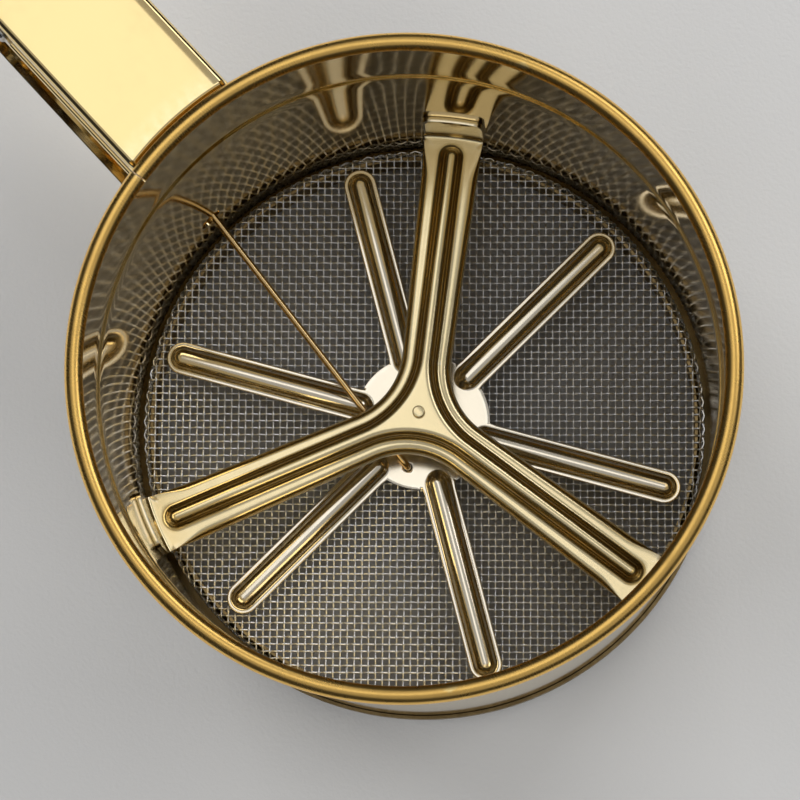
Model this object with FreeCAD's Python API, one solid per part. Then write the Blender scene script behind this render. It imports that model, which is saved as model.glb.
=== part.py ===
"""One-hand flour sifter: a round cup with a woven screen, a six-arm agitator and a squeeze trigger.

Frame: +Z up, the base stands on z = 0, the cup's axis is x = y = 0 and the handle points along +X.
Lengths are in millimetres and angles in degrees. Each piece is written to its own STEP file.
"""

import FreeCAD, Part
import math
import os

# Cup
cup_height = 72.0
rim_outer_radius = 50.0
rim_bead_radius = 1.2
wall_inner_radius = 46.9
wall_thickness = 0.5
mouth_step = 0.4
crease_height = 55.6
crease_half_height = 0.5
rim_seam_azimuth = 11.4
rim_seam_gap = 0.25
rim_grip = 0.3

# Base ring and screen
sleeve_inner_radius = 44.6
sleeve_thickness = 0.5
screen_thickness = 0.5
screen_top = 8.6
screen_skirt_bottom = 3.0
screen_shoulder = 0.35
base_foot_radius = 48.0
base_hem_height = 3.0

# Spider, the fixed three-arm bracket over the agitator
spider_underside = 19.8
spider_sheet = 0.8
spider_first_azimuth = -49.6
spider_half_width_hub = 4.0
spider_half_width_end = 4.75
spider_rib_radius = 2.5
spider_rib_end = 42.4
spider_corner_radius = 12.0
spider_boss_radius = 3.0
spider_boss_inset = 0.6
spider_boss_step = 0.3
spider_tab_height = 10.0
spider_lip_height = 1.0
spider_lip_thickness = 0.6
spider_lip_start = 12.0
spider_lip_end = 44.0
spider_wall_gap = 0.05

# Spindle stack
spindle_spigot_radius = 1.0
spindle_radius = 1.5
spindle_bottom = 9.0
spindle_tip_height = 0.9
spindle_chamfer = 0.25
spindle_groove = 0.4
spacer_outer_radius = 2.7
washer_outer_radius = 3.2
washer_thickness = 0.5
lower_washer_thickness = 0.4
lower_washer_outer_radius = 2.9
clip_outer_radius = 2.7
clip_thickness = 0.4
clip_mouth = 1.8
clip_mouth_azimuth = 200.0
clip_seat_gap = 0.02
running_gap = 0.1
running_clearance = 0.05

# Agitator
agitator_top = 11.2
agitator_sheet = 0.5
agitator_arm_count = 6
agitator_first_azimuth = 32.0
agitator_tip_circle = 40.9
agitator_arm_half_width = 2.7
agitator_rib_radius = 1.95
agitator_rib_start = 10.45
agitator_hub_radius = 11.1
bush_flange_radius = 3.5
bush_barrel_radius = 2.5
bush_flange_height = 0.6
bush_lip = 0.4
bush_lip_overhang = 0.5

# Pull rod, a straight wire with a hook at each end
rod_radius = 0.55
hook_circle_radius = 7.85
hook_azimuth = 120.0
agitator_sweep = 60.0
rod_start_height = 12.9
rod_wall_height = 21.0
rod_wall_offset = 2.62
rod_tail_length = 3.0
rod_tail_drop = 0.15
rod_tip_length = 4.0
rod_hole_clearance = 0.2
wall_hole_radius = 2.0
wall_hole_offset = 3.3
wall_hole_height = 20.4

# Handle, a channel bent to a D
handle_width = 19.4
handle_sheet = 0.8
handle_depth = 10.5
handle_top = 70.3
handle_bottom = 12.0
handle_reach = 108.0
handle_upper_bend = 14.0
handle_lower_bend = 22.0
handle_edge_radius = 1.0
handle_end_lip = 4.5
handle_end_lip_inset = 1.0
handle_root_x = 40.0
hem_depth = 1.2
hem_proud = 0.4
rim_clearance = 0.1

# Trigger and its pin
pivot_x = 80.6
pivot_z = 64.0
pin_radius = 1.6
pin_head_radius = 2.6
pin_head_height = 0.9
pin_end_length = 1.0
pin_head_root = 0.1
trigger_width = 13.6
trigger_sheet = 0.8
trigger_depth = 7.5
trigger_ear_radius = 4.6
trigger_front = [(77.4, 62.0), (73.8, 43.0), (78.4, 19.5)]
trigger_hole_radius = 1.75
trigger_hole_offset = 0.6
rod_tail_gap = 1.3
pin_washer_radius = 3.8
pin_washer_gap = 0.1

# Return spring
spring_wire_radius = 0.5
spring_coil_radius = 2.55
spring_half_length = 4.0
spring_leg_gap = 0.15
spring_leg_reach = 14.0
spring_leg_slack = 0.05

# Derived sizes
rim_height = cup_height - rim_bead_radius
rim_centre_radius = rim_outer_radius - rim_bead_radius
sleeve_outer_radius = sleeve_inner_radius + sleeve_thickness
sleeve_top = screen_top - screen_thickness
screen_outer_radius = sleeve_outer_radius + screen_thickness
spider_crest = spider_underside + spider_rib_radius
spider_reach = wall_inner_radius - spider_wall_gap
agitator_underside = agitator_top - agitator_sheet
bush_top = agitator_top + bush_flange_height
bush_bottom = agitator_underside - bush_lip
upper_washer_bottom = bush_top + running_gap
spacer_bottom = upper_washer_bottom + washer_thickness
lower_washer_top = bush_bottom - running_gap
lower_washer_bottom = lower_washer_top - lower_washer_thickness
clip_bottom = lower_washer_bottom - clip_thickness
hook_x = hook_circle_radius * math.cos(math.radians(hook_azimuth))
hook_y = hook_circle_radius * math.sin(math.radians(hook_azimuth))
rod_stroke = 2.0 * hook_circle_radius * math.sin(math.radians(agitator_sweep / 2.0))

UP = FreeCAD.Vector(0, 0, 1)
ALONG_X = FreeCAD.Vector(1, 0, 0)
ALONG_Y = FreeCAD.Vector(0, 1, 0)
ORIGIN = FreeCAD.Vector(0, 0, 0)
BEYOND = 120.0
SETTLING_STEPS = 20


def vec(x, y, z):
    return FreeCAD.Vector(x, y, z)


def rotated(shape, azimuth):
    """A copy of the shape turned about the cup's axis."""
    copy = shape.copy()
    copy.rotate(ORIGIN, UP, azimuth)
    return copy


def disc(radius, bottom, top, x=0.0, y=0.0):
    return Part.makeCylinder(radius, top - bottom, vec(x, y, bottom))


def tube(inner, outer, bottom, top):
    return disc(outer, bottom, top).cut(disc(inner, bottom - 1.0, top + 1.0))


def revolved(points):
    """Turn a closed outline of (radius, height) points about the cup's axis."""
    outline = [vec(r, 0, z) for r, z in points]
    wire = Part.makePolygon(outline + outline[:1])
    return Part.Face(wire).revolve(ORIGIN, UP, 360.0)


def prism(points, bottom, top):
    """Raise a closed outline of (x, y) points from bottom to top."""
    outline = [vec(x, y, bottom) for x, y in points]
    wire = Part.makePolygon(outline + outline[:1])
    return Part.Face(wire).extrude(vec(0, 0, top - bottom))


def joined(shapes):
    whole = shapes[0].multiFuse(shapes[1:])
    return whole.removeSplitter()


def capsule(radius, start, end, height):
    """A rounded bar along +X from x = start to x = end at the given height."""
    bar = Part.makeCylinder(radius, end - start, vec(start, 0, height), ALONG_X)
    ends = [Part.makeSphere(radius, vec(x, 0, height)) for x in (start, end)]
    return bar.multiFuse(ends)


def upper_half(shape, height):
    keep = Part.makeBox(2 * BEYOND, 2 * BEYOND, BEYOND, vec(-BEYOND, -BEYOND, height))
    return shape.common(keep)


def y_cylinder(radius, x, z, y_low, y_high):
    return Part.makeCylinder(radius, y_high - y_low, vec(x, y_low, z), ALONG_Y)


def export(node, shape):
    shape.exportStep("parts/" + node + ".step")


def rod_point(x):
    """The point of the rod's straight run at the given x."""
    share = (x - hook_x) / (wall_inner_radius - hook_x)
    y = hook_y + share * (rod_wall_offset - hook_y)
    z = rod_start_height + share * (rod_wall_height - rod_start_height)
    return vec(x, y, z)


def cup_body():
    inner = wall_inner_radius
    outer = inner + wall_thickness
    low = crease_height - crease_half_height
    high = crease_height + crease_half_height
    bottom = wall_thickness
    top = rim_height + rim_grip
    outline = [(inner, bottom), (inner, low), (inner + mouth_step, high), (inner + mouth_step, top),
               (outer + mouth_step, top), (outer + mouth_step, high), (outer, low), (outer, bottom)]
    wall = revolved(outline)
    start = vec(rim_outer_radius / 2.0, wall_hole_offset, wall_hole_height)
    return wall.cut(Part.makeCylinder(wall_hole_radius, rim_outer_radius, start, ALONG_X))


def rim_ring(cup):
    bead = Part.makeTorus(rim_centre_radius, rim_bead_radius, vec(0, 0, rim_height))
    size = 4.0 * rim_bead_radius
    corner = vec(rim_centre_radius - size / 2.0, 0, rim_height - size / 2.0)
    seam = Part.makeBox(size, rim_seam_gap, size, corner)
    return bead.cut(cup).cut(rotated(seam, rim_seam_azimuth))


def base_ring():
    """The sleeve that carries the screen, its flat foot and the hem turned up outside the wall."""
    sleeve = tube(sleeve_inner_radius, sleeve_outer_radius, 0.0, sleeve_top)
    foot = tube(sleeve_inner_radius, base_foot_radius, 0.0, wall_thickness)
    hem = tube(base_foot_radius - wall_thickness, base_foot_radius, 0.0, base_hem_height)
    return joined([sleeve, foot, hem])


def mesh_screen():
    inner = sleeve_outer_radius
    outer = screen_outer_radius
    outline = [(0.0, sleeve_top), (inner, sleeve_top), (inner, screen_skirt_bottom),
               (outer, screen_skirt_bottom), (outer, screen_top - screen_shoulder),
               (outer - screen_shoulder, screen_top), (0.0, screen_top)]
    return revolved(outline)


def spider_arm_outline():
    w0 = spider_half_width_hub
    w1 = spider_half_width_end
    return [(0.0, -w0), (spider_reach + 1.0, -w1), (spider_reach + 1.0, w1), (0.0, w0)]


def spider_corner(bottom, top):
    """The filled corner between the arm along +X and the next one, with a hollow round edge."""
    w = spider_half_width_hub
    centre_distance = (w + spider_corner_radius) / math.sin(math.radians(60.0))
    reach = centre_distance * math.cos(math.radians(60.0))
    centre = (reach, centre_distance * math.sin(math.radians(60.0)))
    other = rotated(Part.Vertex(reach, -w, 0), 120.0).Point
    fill = prism([(0, 0), (reach, w), centre, (other.x, other.y)], bottom, top)
    return fill.cut(disc(spider_corner_radius, bottom - 1, top + 1, centre[0], centre[1]))


def spider_lips():
    """The turned-down edges on both sides of the arm along +X."""
    near = spider_lip_start
    far = spider_lip_end
    low = spider_underside - spider_lip_height
    high = spider_underside + spider_sheet / 2.0
    growth = (spider_half_width_end - spider_half_width_hub) / spider_reach
    lips = []
    for side in (1.0, -1.0):
        y0 = side * (spider_half_width_hub + growth * near)
        y1 = side * (spider_half_width_hub + growth * far)
        inward = -side * spider_lip_thickness
        outline = [(near, y0), (far, y1), (far, y1 + inward), (near, y0 + inward)]
        lips.append(prism(outline, low, high))
    return lips


def spider():
    bottom = spider_underside
    top = bottom + spider_sheet
    plates = []
    ribs = []
    hollows = []
    for i in range(3):
        turn = spider_first_azimuth + 120.0 * i
        plates.append(rotated(prism(spider_arm_outline(), bottom, top), turn))
        plates.append(rotated(spider_corner(bottom, top), turn))
        plates.extend(rotated(lip, turn) for lip in spider_lips())
        rib = capsule(spider_rib_radius, 0.0, spider_rib_end, bottom)
        hollow = capsule(spider_rib_radius - spider_sheet, 0.0, spider_rib_end, bottom)
        ribs.append(rotated(rib, turn))
        hollows.append(rotated(hollow, turn))
    body = joined(plates + [upper_half(rib, bottom) for rib in ribs])
    for hollow in hollows:
        body = body.cut(hollow)
    boss = disc(spider_boss_radius, bottom, spider_crest - spider_boss_step)
    crown = disc(spider_boss_radius - spider_boss_inset, bottom, spider_crest)
    body = joined([body, boss, crown])
    body = body.common(disc(spider_reach, 0.0, cup_height))
    tab = tube(spider_reach - spider_sheet, spider_reach, bottom, bottom + spider_tab_height)
    width = 2.0 * spider_half_width_end
    strip = Part.makeBox(BEYOND, width, BEYOND, vec(spider_reach / 2.0, -width / 2.0, 0.0))
    tab = tab.common(strip)
    body = joined([body] + [rotated(tab, spider_first_azimuth + 120.0 * i) for i in range(3)])
    return body.cut(disc(spindle_spigot_radius, 0.0, cup_height))


def spindle():
    spigot_top = spider_crest + spindle_tip_height
    chamfer = spindle_chamfer
    groove = spindle_groove
    r = spindle_radius
    s = spindle_spigot_radius
    outline = [(0.0, spindle_bottom), (r - chamfer, spindle_bottom), (r, spindle_bottom + chamfer),
               (r, clip_bottom), (r - groove, clip_bottom), (r - groove, lower_washer_bottom),
               (r, lower_washer_bottom), (r, spider_underside), (s, spider_underside),
               (s, spigot_top - chamfer), (s - chamfer, spigot_top), (0.0, spigot_top)]
    return revolved(outline)


def spindle_clip():
    """An open retaining ring in the spindle's groove."""
    seat = spindle_radius - spindle_groove + clip_seat_gap
    ring = tube(seat, clip_outer_radius, clip_bottom, lower_washer_bottom)
    mouth = Part.makeBox(BEYOND, clip_mouth, BEYOND, vec(0.0, -clip_mouth / 2.0, 0.0))
    return ring.cut(rotated(mouth, clip_mouth_azimuth))


def agitator():
    plates = [disc(agitator_hub_radius, agitator_underside, agitator_top)]
    ribs = []
    hollows = []
    w = agitator_arm_half_width
    for i in range(agitator_arm_count):
        turn = agitator_first_azimuth + 360.0 / agitator_arm_count * i
        outline = [(0, -w), (agitator_tip_circle, -w), (agitator_tip_circle, w), (0, w)]
        plates.append(rotated(prism(outline, agitator_underside, agitator_top), turn))
        plates.append(rotated(disc(w, agitator_underside, agitator_top, agitator_tip_circle), turn))
        rib = capsule(agitator_rib_radius, agitator_rib_start, agitator_tip_circle, agitator_underside)
        hollow = capsule(agitator_rib_radius - agitator_sheet, agitator_rib_start, agitator_tip_circle,
                         agitator_underside)
        ribs.append(rotated(upper_half(rib, agitator_underside), turn))
        hollows.append(rotated(hollow, turn))
    body = joined(plates + ribs)
    for hollow in hollows:
        body = body.cut(hollow)
    body = body.cut(disc(bush_barrel_radius, 0.0, BEYOND))
    return body.cut(disc(rod_radius + rod_hole_clearance, 0.0, BEYOND, hook_x, hook_y))


def agitator_bush():
    flange = disc(bush_flange_radius, agitator_top, bush_top)
    barrel = disc(bush_barrel_radius, bush_bottom, bush_top)
    lip = disc(bush_barrel_radius + bush_lip_overhang, bush_bottom, agitator_underside)
    bore = disc(spindle_radius + running_clearance, 0.0, BEYOND)
    return joined([flange, barrel, lip]).cut(bore)


def bar(start, end, radius):
    run = end.sub(start)
    return Part.makeCylinder(radius, run.Length, start, run)


def pull_rod():
    """The wire: a tail under the hub, the rise through its hole, the straight run and a rear tip."""
    foot = vec(hook_x, hook_y, agitator_underside - rod_tail_drop - rod_radius)
    knee = vec(hook_x, hook_y, rod_start_height)
    run = rod_point(100.0).sub(rod_point(0.0))
    run.normalize()
    far_x = trigger_face_x(rod_hole_height()) + trigger_sheet + rod_tail_gap + rod_radius
    elbow = rod_point(far_x)
    tail = foot.sub(vec(run.x, run.y, 0).multiply(rod_tail_length))
    tip = elbow.add(vec(0, 0, rod_tip_length))
    points = [tail, foot, knee, elbow, tip]
    pieces = [bar(a, b, rod_radius) for a, b in zip(points, points[1:])]
    pieces += [Part.makeSphere(rod_radius, p) for p in points]
    return joined(pieces)


def line(start, end):
    return Part.LineSegment(start, end).toShape()


def d_band(shallow, deep):
    """The face between two lines that follow the handle's D at two depths below its outer surface."""
    lines = []
    for depth in (shallow, deep):
        upper = handle_upper_bend - depth
        lower = handle_lower_bend - depth
        x_upper = handle_reach - handle_upper_bend
        z_upper = handle_top - handle_upper_bend
        x_lower = handle_reach - handle_lower_bend
        z_lower = handle_bottom + handle_lower_bend
        half = math.sqrt(0.5)
        p = [vec(handle_root_x, 0, handle_top - depth), vec(x_upper, 0, handle_top - depth),
             vec(x_upper + upper * half, 0, z_upper + upper * half), vec(handle_reach - depth, 0, z_upper),
             vec(handle_reach - depth, 0, z_lower),
             vec(x_lower + lower * half, 0, z_lower - lower * half), vec(x_lower, 0, handle_bottom + depth),
             vec(handle_root_x, 0, handle_bottom + depth)]
        lines.append((p, [line(p[0], p[1]), Part.Arc(p[1], p[2], p[3]).toShape(), line(p[3], p[4]),
                          Part.Arc(p[4], p[5], p[6]).toShape(), line(p[6], p[7])]))
    (outer, outer_edges), (inner, inner_edges) = lines
    closing = [line(outer[7], inner[7]), line(inner[0], outer[0])]
    wire = Part.Wire(Part.__sortEdges__(outer_edges + inner_edges + closing))
    return Part.Face(wire)


def widened(face, width):
    solid = face.extrude(vec(0, width, 0))
    solid.translate(vec(0, -width / 2.0, 0))
    return solid


def on_outer_line(edge):
    """True for the long edges where the handle's web meets its sides."""
    if abs(abs(edge.CenterOfMass.y) - handle_width / 2.0) > 0.01:
        return False
    mid = edge.valueAt((edge.FirstParameter + edge.LastParameter) / 2.0)
    if mid.z > handle_top - 0.01 or abs(mid.x - handle_reach) < 0.01 or mid.z < handle_bottom + 0.01:
        return edge.Length > 1.0
    upper = vec(handle_reach - handle_upper_bend, mid.y, handle_top - handle_upper_bend)
    lower = vec(handle_reach - handle_lower_bend, mid.y, handle_bottom + handle_lower_bend)
    on_upper = abs(mid.sub(upper).Length - handle_upper_bend) < 0.01 and mid.x > upper.x
    on_lower = abs(mid.sub(lower).Length - handle_lower_bend) < 0.01 and mid.x > lower.x and mid.z < lower.z
    return on_upper or on_lower


def handle_shell():
    block = widened(d_band(0.0, handle_depth), handle_width)
    block = block.makeFillet(handle_edge_radius, [e for e in block.Edges if on_outer_line(e)])
    hems = widened(d_band(handle_depth - hem_depth, handle_depth), handle_width + 2.0 * hem_proud)
    hollow = widened(d_band(handle_sheet, handle_depth + hem_depth), handle_width - 2.0 * handle_sheet)
    shell = joined([block, hems]).cut(hollow)
    outer_face = wall_inner_radius + wall_thickness
    end_inner = rim_outer_radius + rim_clearance
    shell = shell.cut(disc(outer_face, 0.0, crease_height))
    shell = shell.cut(disc(outer_face + mouth_step, crease_height - crease_half_height, BEYOND))
    shell = shell.cut(disc(end_inner, rim_height - rim_bead_radius - rim_clearance, BEYOND))
    end_lip = tube(end_inner, end_inner + handle_sheet, handle_top - handle_end_lip, handle_top)
    lip_width = handle_width - 2.0 * handle_end_lip_inset
    lip_room = Part.makeBox(BEYOND, lip_width, BEYOND, vec(handle_root_x, -lip_width / 2.0, 0.0))
    shell = joined([shell, end_lip.common(lip_room)])
    return shell.cut(y_cylinder(pin_radius, pivot_x, pivot_z, -BEYOND, BEYOND))


def trigger_arc(shift):
    """The trigger's front line seen from the side, moved along +X."""
    points = [vec(x + shift, 0, z) for x, z in trigger_front]
    return Part.Arc(*points)


def trigger_face_x(z):
    """Where the trigger's front surface is at height z."""
    circle = trigger_arc(0.0).toShape().Curve
    return circle.Center.x - math.sqrt(circle.Radius ** 2 - (z - circle.Center.z) ** 2)


def rod_hole_height():
    """The height at which the rod's run meets the trigger's front surface, found by a few steps."""
    z = rod_wall_height
    for _ in range(SETTLING_STEPS):
        z = rod_point(trigger_face_x(z)).z
    return z


def trigger():
    def band(start, end):
        first = trigger_arc(start)
        second = trigger_arc(end)
        caps = [line(first.StartPoint, second.StartPoint), line(first.EndPoint, second.EndPoint)]
        return Part.Face(Part.Wire(Part.__sortEdges__([first.toShape(), second.toShape()] + caps)))

    inner_width = trigger_width - 2.0 * trigger_sheet
    ears = y_cylinder(trigger_ear_radius, pivot_x, pivot_z, -trigger_width / 2.0, trigger_width / 2.0)
    body = joined([widened(band(0.0, trigger_depth), trigger_width), ears])
    hollow = widened(band(trigger_sheet, trigger_depth + trigger_sheet), inner_width)
    gap_length = 4.0 * trigger_ear_radius
    gap_corner = vec(pivot_x - gap_length / 2.0, -inner_width / 2.0, pivot_z - 2.0 * pin_radius)
    gap_between_ears = Part.makeBox(gap_length, inner_width, gap_length, gap_corner)
    body = body.cut(hollow).cut(gap_between_ears)
    body = body.cut(y_cylinder(pin_radius + running_clearance, pivot_x, pivot_z, -BEYOND, BEYOND))
    z = rod_hole_height()
    start = vec(trigger_face_x(z) - trigger_depth, trigger_hole_offset, z)
    return body.cut(Part.makeCylinder(trigger_hole_radius, BEYOND, start, ALONG_X))


def trigger_pin():
    side = handle_width / 2.0
    shaft = y_cylinder(pin_radius, pivot_x, pivot_z, -side - pin_head_root, side + pin_end_length)
    head = y_cylinder(pin_head_radius, pivot_x, pivot_z, -side - pin_head_height, -side)
    return joined([shaft, head])


def pin_washers():
    inner = handle_width / 2.0 - handle_sheet
    low = trigger_width / 2.0 + pin_washer_gap
    pair = []
    for y_low, y_high in ((low, inner), (-inner, -low)):
        washer = y_cylinder(pin_washer_radius, pivot_x, pivot_z, y_low, y_high)
        pair.append(washer.cut(y_cylinder(pin_radius, pivot_x, pivot_z, -BEYOND, BEYOND)))
    return Part.makeCompound(pair)


def pin_clip():
    side = handle_width / 2.0
    ring = y_cylinder(pin_head_radius, pivot_x, pivot_z, side, side + clip_thickness)
    return ring.cut(y_cylinder(pin_radius, pivot_x, pivot_z, 0.0, BEYOND))


def return_spring():
    """The torsion spring's coil as a sleeve round the pin, and a leg on the handle and the trigger each."""
    outer = spring_coil_radius + 2.0 * spring_wire_radius
    coil = y_cylinder(outer, pivot_x, pivot_z, -spring_half_length, spring_half_length)
    coil = coil.cut(y_cylinder(spring_coil_radius, pivot_x, pivot_z, -BEYOND, BEYOND))
    mid = spring_coil_radius + spring_wire_radius
    y = spring_half_length - spring_wire_radius
    leg_z = handle_top - handle_sheet - spring_leg_gap - spring_wire_radius
    leg_radius = spring_wire_radius - spring_leg_slack
    upper = bar(vec(pivot_x, y, pivot_z + mid), vec(pivot_x - spring_leg_reach, y, leg_z), leg_radius)
    z = pivot_z - spring_leg_reach
    leg_x = trigger_face_x(z) + trigger_sheet + spring_leg_gap + spring_wire_radius
    lower = bar(vec(pivot_x, -y, pivot_z - mid), vec(leg_x, -y, z), leg_radius)
    return joined([coil, upper, lower])


def main():
    os.makedirs("parts", exist_ok=True)
    cup = cup_body()
    spacer = tube(spindle_radius, spacer_outer_radius, spacer_bottom, spider_underside)
    upper_washer = tube(spindle_radius, washer_outer_radius, upper_washer_bottom, spacer_bottom)
    lower_washer = tube(spindle_radius, lower_washer_outer_radius, lower_washer_bottom, lower_washer_top)
    export("cup_body", cup)
    export("rim_ring", rim_ring(cup))
    export("base_ring", base_ring())
    export("mesh_screen", mesh_screen())
    export("spider", spider())
    export("spindle", spindle())
    export("spacer_sleeve", spacer)
    export("upper_washer", upper_washer)
    export("lower_washer", lower_washer)
    export("spindle_clip", spindle_clip())
    export("agitator", agitator())
    export("agitator_bush", agitator_bush())
    export("pull_rod", pull_rod())
    export("handle_shell", handle_shell())
    export("trigger", trigger())
    export("trigger_pin", trigger_pin())
    export("pin_washers", pin_washers())
    export("pin_clip", pin_clip())
    export("return_spring", return_spring())
    hole_z = rod_hole_height()
    arm = math.hypot(trigger_face_x(hole_z) - pivot_x, hole_z - pivot_z)
    travel = 2.0 * math.degrees(math.asin(rod_stroke / (2.0 * arm)))
    print("rod stroke", round(rod_stroke, 3), "trigger arm", round(arm, 3))
    print("trigger travel", round(travel, 3))
    print("hook", round(hook_x, 4), round(hook_y, 4), "rod hole height", round(hole_z, 3))


main()
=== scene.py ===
"""Looks of a gold one-hand flour sifter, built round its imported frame.

Lengths are in metres in the frame's own axes: +Z up, the base on z = 0, the cup's axis on x = y = 0 and the
handle along +X. A cup holds a woven screen, a six-arm agitator under a three-arm bracket, and a wire that a
sprung trigger in the handle pulls.
"""

import logging
import math
from collections.abc import Callable, Sequence
from dataclasses import dataclass
from enum import Enum

import bmesh
import bpy
import numpy as np
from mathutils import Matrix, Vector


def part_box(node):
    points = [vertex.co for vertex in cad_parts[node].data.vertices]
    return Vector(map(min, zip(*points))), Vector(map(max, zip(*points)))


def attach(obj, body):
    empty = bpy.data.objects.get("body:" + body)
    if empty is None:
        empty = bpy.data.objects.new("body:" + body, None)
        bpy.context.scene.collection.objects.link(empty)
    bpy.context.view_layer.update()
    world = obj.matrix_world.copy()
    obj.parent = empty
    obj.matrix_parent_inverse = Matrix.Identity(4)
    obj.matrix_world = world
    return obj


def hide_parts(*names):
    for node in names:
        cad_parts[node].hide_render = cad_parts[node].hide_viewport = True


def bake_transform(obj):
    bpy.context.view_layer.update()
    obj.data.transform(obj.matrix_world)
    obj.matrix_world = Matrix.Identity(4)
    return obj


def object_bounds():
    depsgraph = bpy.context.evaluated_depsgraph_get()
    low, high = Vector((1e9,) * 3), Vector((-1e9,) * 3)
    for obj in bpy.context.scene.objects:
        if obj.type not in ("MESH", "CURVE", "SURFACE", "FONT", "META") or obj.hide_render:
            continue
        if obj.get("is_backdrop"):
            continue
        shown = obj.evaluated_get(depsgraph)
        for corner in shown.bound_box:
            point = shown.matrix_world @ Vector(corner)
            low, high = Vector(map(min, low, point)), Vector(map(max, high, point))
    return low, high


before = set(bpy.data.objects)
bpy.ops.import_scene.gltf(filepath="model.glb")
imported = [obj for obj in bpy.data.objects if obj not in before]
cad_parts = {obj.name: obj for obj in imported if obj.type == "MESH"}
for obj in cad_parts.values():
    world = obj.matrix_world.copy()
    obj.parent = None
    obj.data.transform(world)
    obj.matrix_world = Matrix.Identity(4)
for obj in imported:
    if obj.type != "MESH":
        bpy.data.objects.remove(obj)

Array = np.ndarray
Colour = tuple[float, float, float]

MM = 0.001
TURN = 2.0 * math.pi
QUARTER = 0.5 * math.pi
WELD = 2.0e-6
log = logging.getLogger("sifter")


class Body(str, Enum):
    """The moving groups of the frame that a piece can ride on."""

    HOUSING = "housing"
    AGITATOR = "agitator_body"
    ROD = "rod"
    TRIGGER = "trigger_body"


class Axis(Enum):
    """The line that a turned piece is turned about."""

    CUP = "z"
    PIN = "y"


class Ends(Enum):
    """How the two ends of a bar are finished."""

    FLAT = "flat"
    ROUND = "round"


# ---------------------------------------------------------------------------------------------------------
# Surfaces
# ---------------------------------------------------------------------------------------------------------


@dataclass
class Surface:
    """A set of points with the faces that join them.

    A face is four point numbers, and a triangle has -1 as its fourth.
    """

    points: Array
    faces: Array

    @classmethod
    def grid(cls, points: Array, wrap_rows: bool = False, wrap_columns: bool = False) -> "Surface":
        """Join a grid of points by quads, each cell's corners taken in turn.

        Args:
            points: (rows, columns, 3) places.
            wrap_rows: True where the last row joins the first.
            wrap_columns: True where the last column joins the first.

        Returns:
            The surface through the grid.
        """
        rows, columns = points.shape[:2]
        i, j = np.meshgrid(
            np.arange(rows if wrap_rows else rows - 1),
            np.arange(columns if wrap_columns else columns - 1),
            indexing="ij",
        )
        down, right = (i + 1) % rows, (j + 1) % columns
        corners = [i * columns + j, down * columns + j, down * columns + right, i * columns + right]
        return cls(points.reshape(-1, 3), np.stack(corners, -1).reshape(-1, 4))

    @classmethod
    def fan(cls, ring: Array, centre: Array) -> "Surface":
        """Close a ring of (n, 3) points with triangles that meet at its centre."""
        k = np.arange(len(ring))
        faces = np.stack([k, (k + 1) % len(ring), np.full_like(k, len(ring)), np.full_like(k, -1)], -1)
        return cls(np.vstack([ring, centre[None, :]]), faces)

    @classmethod
    def joined(cls, parts: Sequence["Surface"]) -> "Surface":
        """Put several surfaces into one, with their point numbers moved up in turn."""
        starts = np.cumsum([0] + [len(part.points) for part in parts[:-1]])
        faces = [np.where(part.faces < 0, -1, part.faces + start) for part, start in zip(parts, starts)]
        return cls(np.vstack([part.points for part in parts]), np.vstack(faces))

    def flipped(self) -> "Surface":
        """The same surface with every face turned over."""
        quads = self.faces[:, [3, 2, 1, 0]]
        triangles = self.faces[:, [2, 1, 0, 3]]
        return Surface(self.points, np.where(self.faces[:, 3:] < 0, triangles, quads))

    def turned(self, angle: float) -> "Surface":
        """The same surface turned about the cup's axis by an angle in radians."""
        c, s = math.cos(angle), math.sin(angle)
        return Surface(self.points @ np.array([[c, s, 0.0], [-s, c, 0.0], [0.0, 0.0, 1.0]]), self.faces)

    def mirrored(self) -> "Surface":
        """The same surface reflected in y = 0, with its faces kept the right way out."""
        return Surface(self.points * np.array([1.0, -1.0, 1.0]), self.faces).flipped()

    def volume(self) -> float:
        """Six times the signed volume inside: the sum of a . (b x c) over the corner triangles."""
        a, b, c = (self.points[self.faces[:, k]] for k in range(3))
        total = np.einsum("ij,ij->", a, np.cross(b, c))
        quads = self.faces[self.faces[:, 3] >= 0]
        a, c, d = (self.points[quads[:, k]] for k in (0, 2, 3))
        return float(total + np.einsum("ij,ij->", a, np.cross(c, d)))


def eased(share: Array) -> Array:
    """A smooth step from 0 to 1: 3 t^2 - 2 t^3 with t held between 0 and 1."""
    t = np.clip(share, 0.0, 1.0)
    return t * t * (3.0 - 2.0 * t)


def unit(vectors: Array) -> Array:
    """Vectors along the last axis, each divided by its own length."""
    return vectors / np.linalg.norm(vectors, axis=-1, keepdims=True)


def arc(centre: Sequence[float], radius: float, start: float, end: float, count: int) -> Array:
    """Points in a plane at centre + radius (cos a, sin a), a in degrees from start to end.

    Returns:
        (count, 2) places.
    """
    a = np.radians(np.linspace(start, end, count))
    return np.array(centre) + radius * np.stack([np.cos(a), np.sin(a)], -1)


def side_directions(line: Array) -> Array:
    """For each point of an (n, 2) line, the unit vector to its left."""
    along = np.gradient(line, axis=0)
    return unit(np.stack([-along[:, 1], along[:, 0]], -1))


def strip(line: Array, thickness: float) -> Array:
    """The closed outline of a sheet whose middle follows an open (n, 2) line: the line moved half a
    thickness to its left, then back along the line moved as far to its right."""
    side = side_directions(line) * thickness / 2.0
    return np.vstack([line + side, (line - side)[::-1]])


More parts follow.
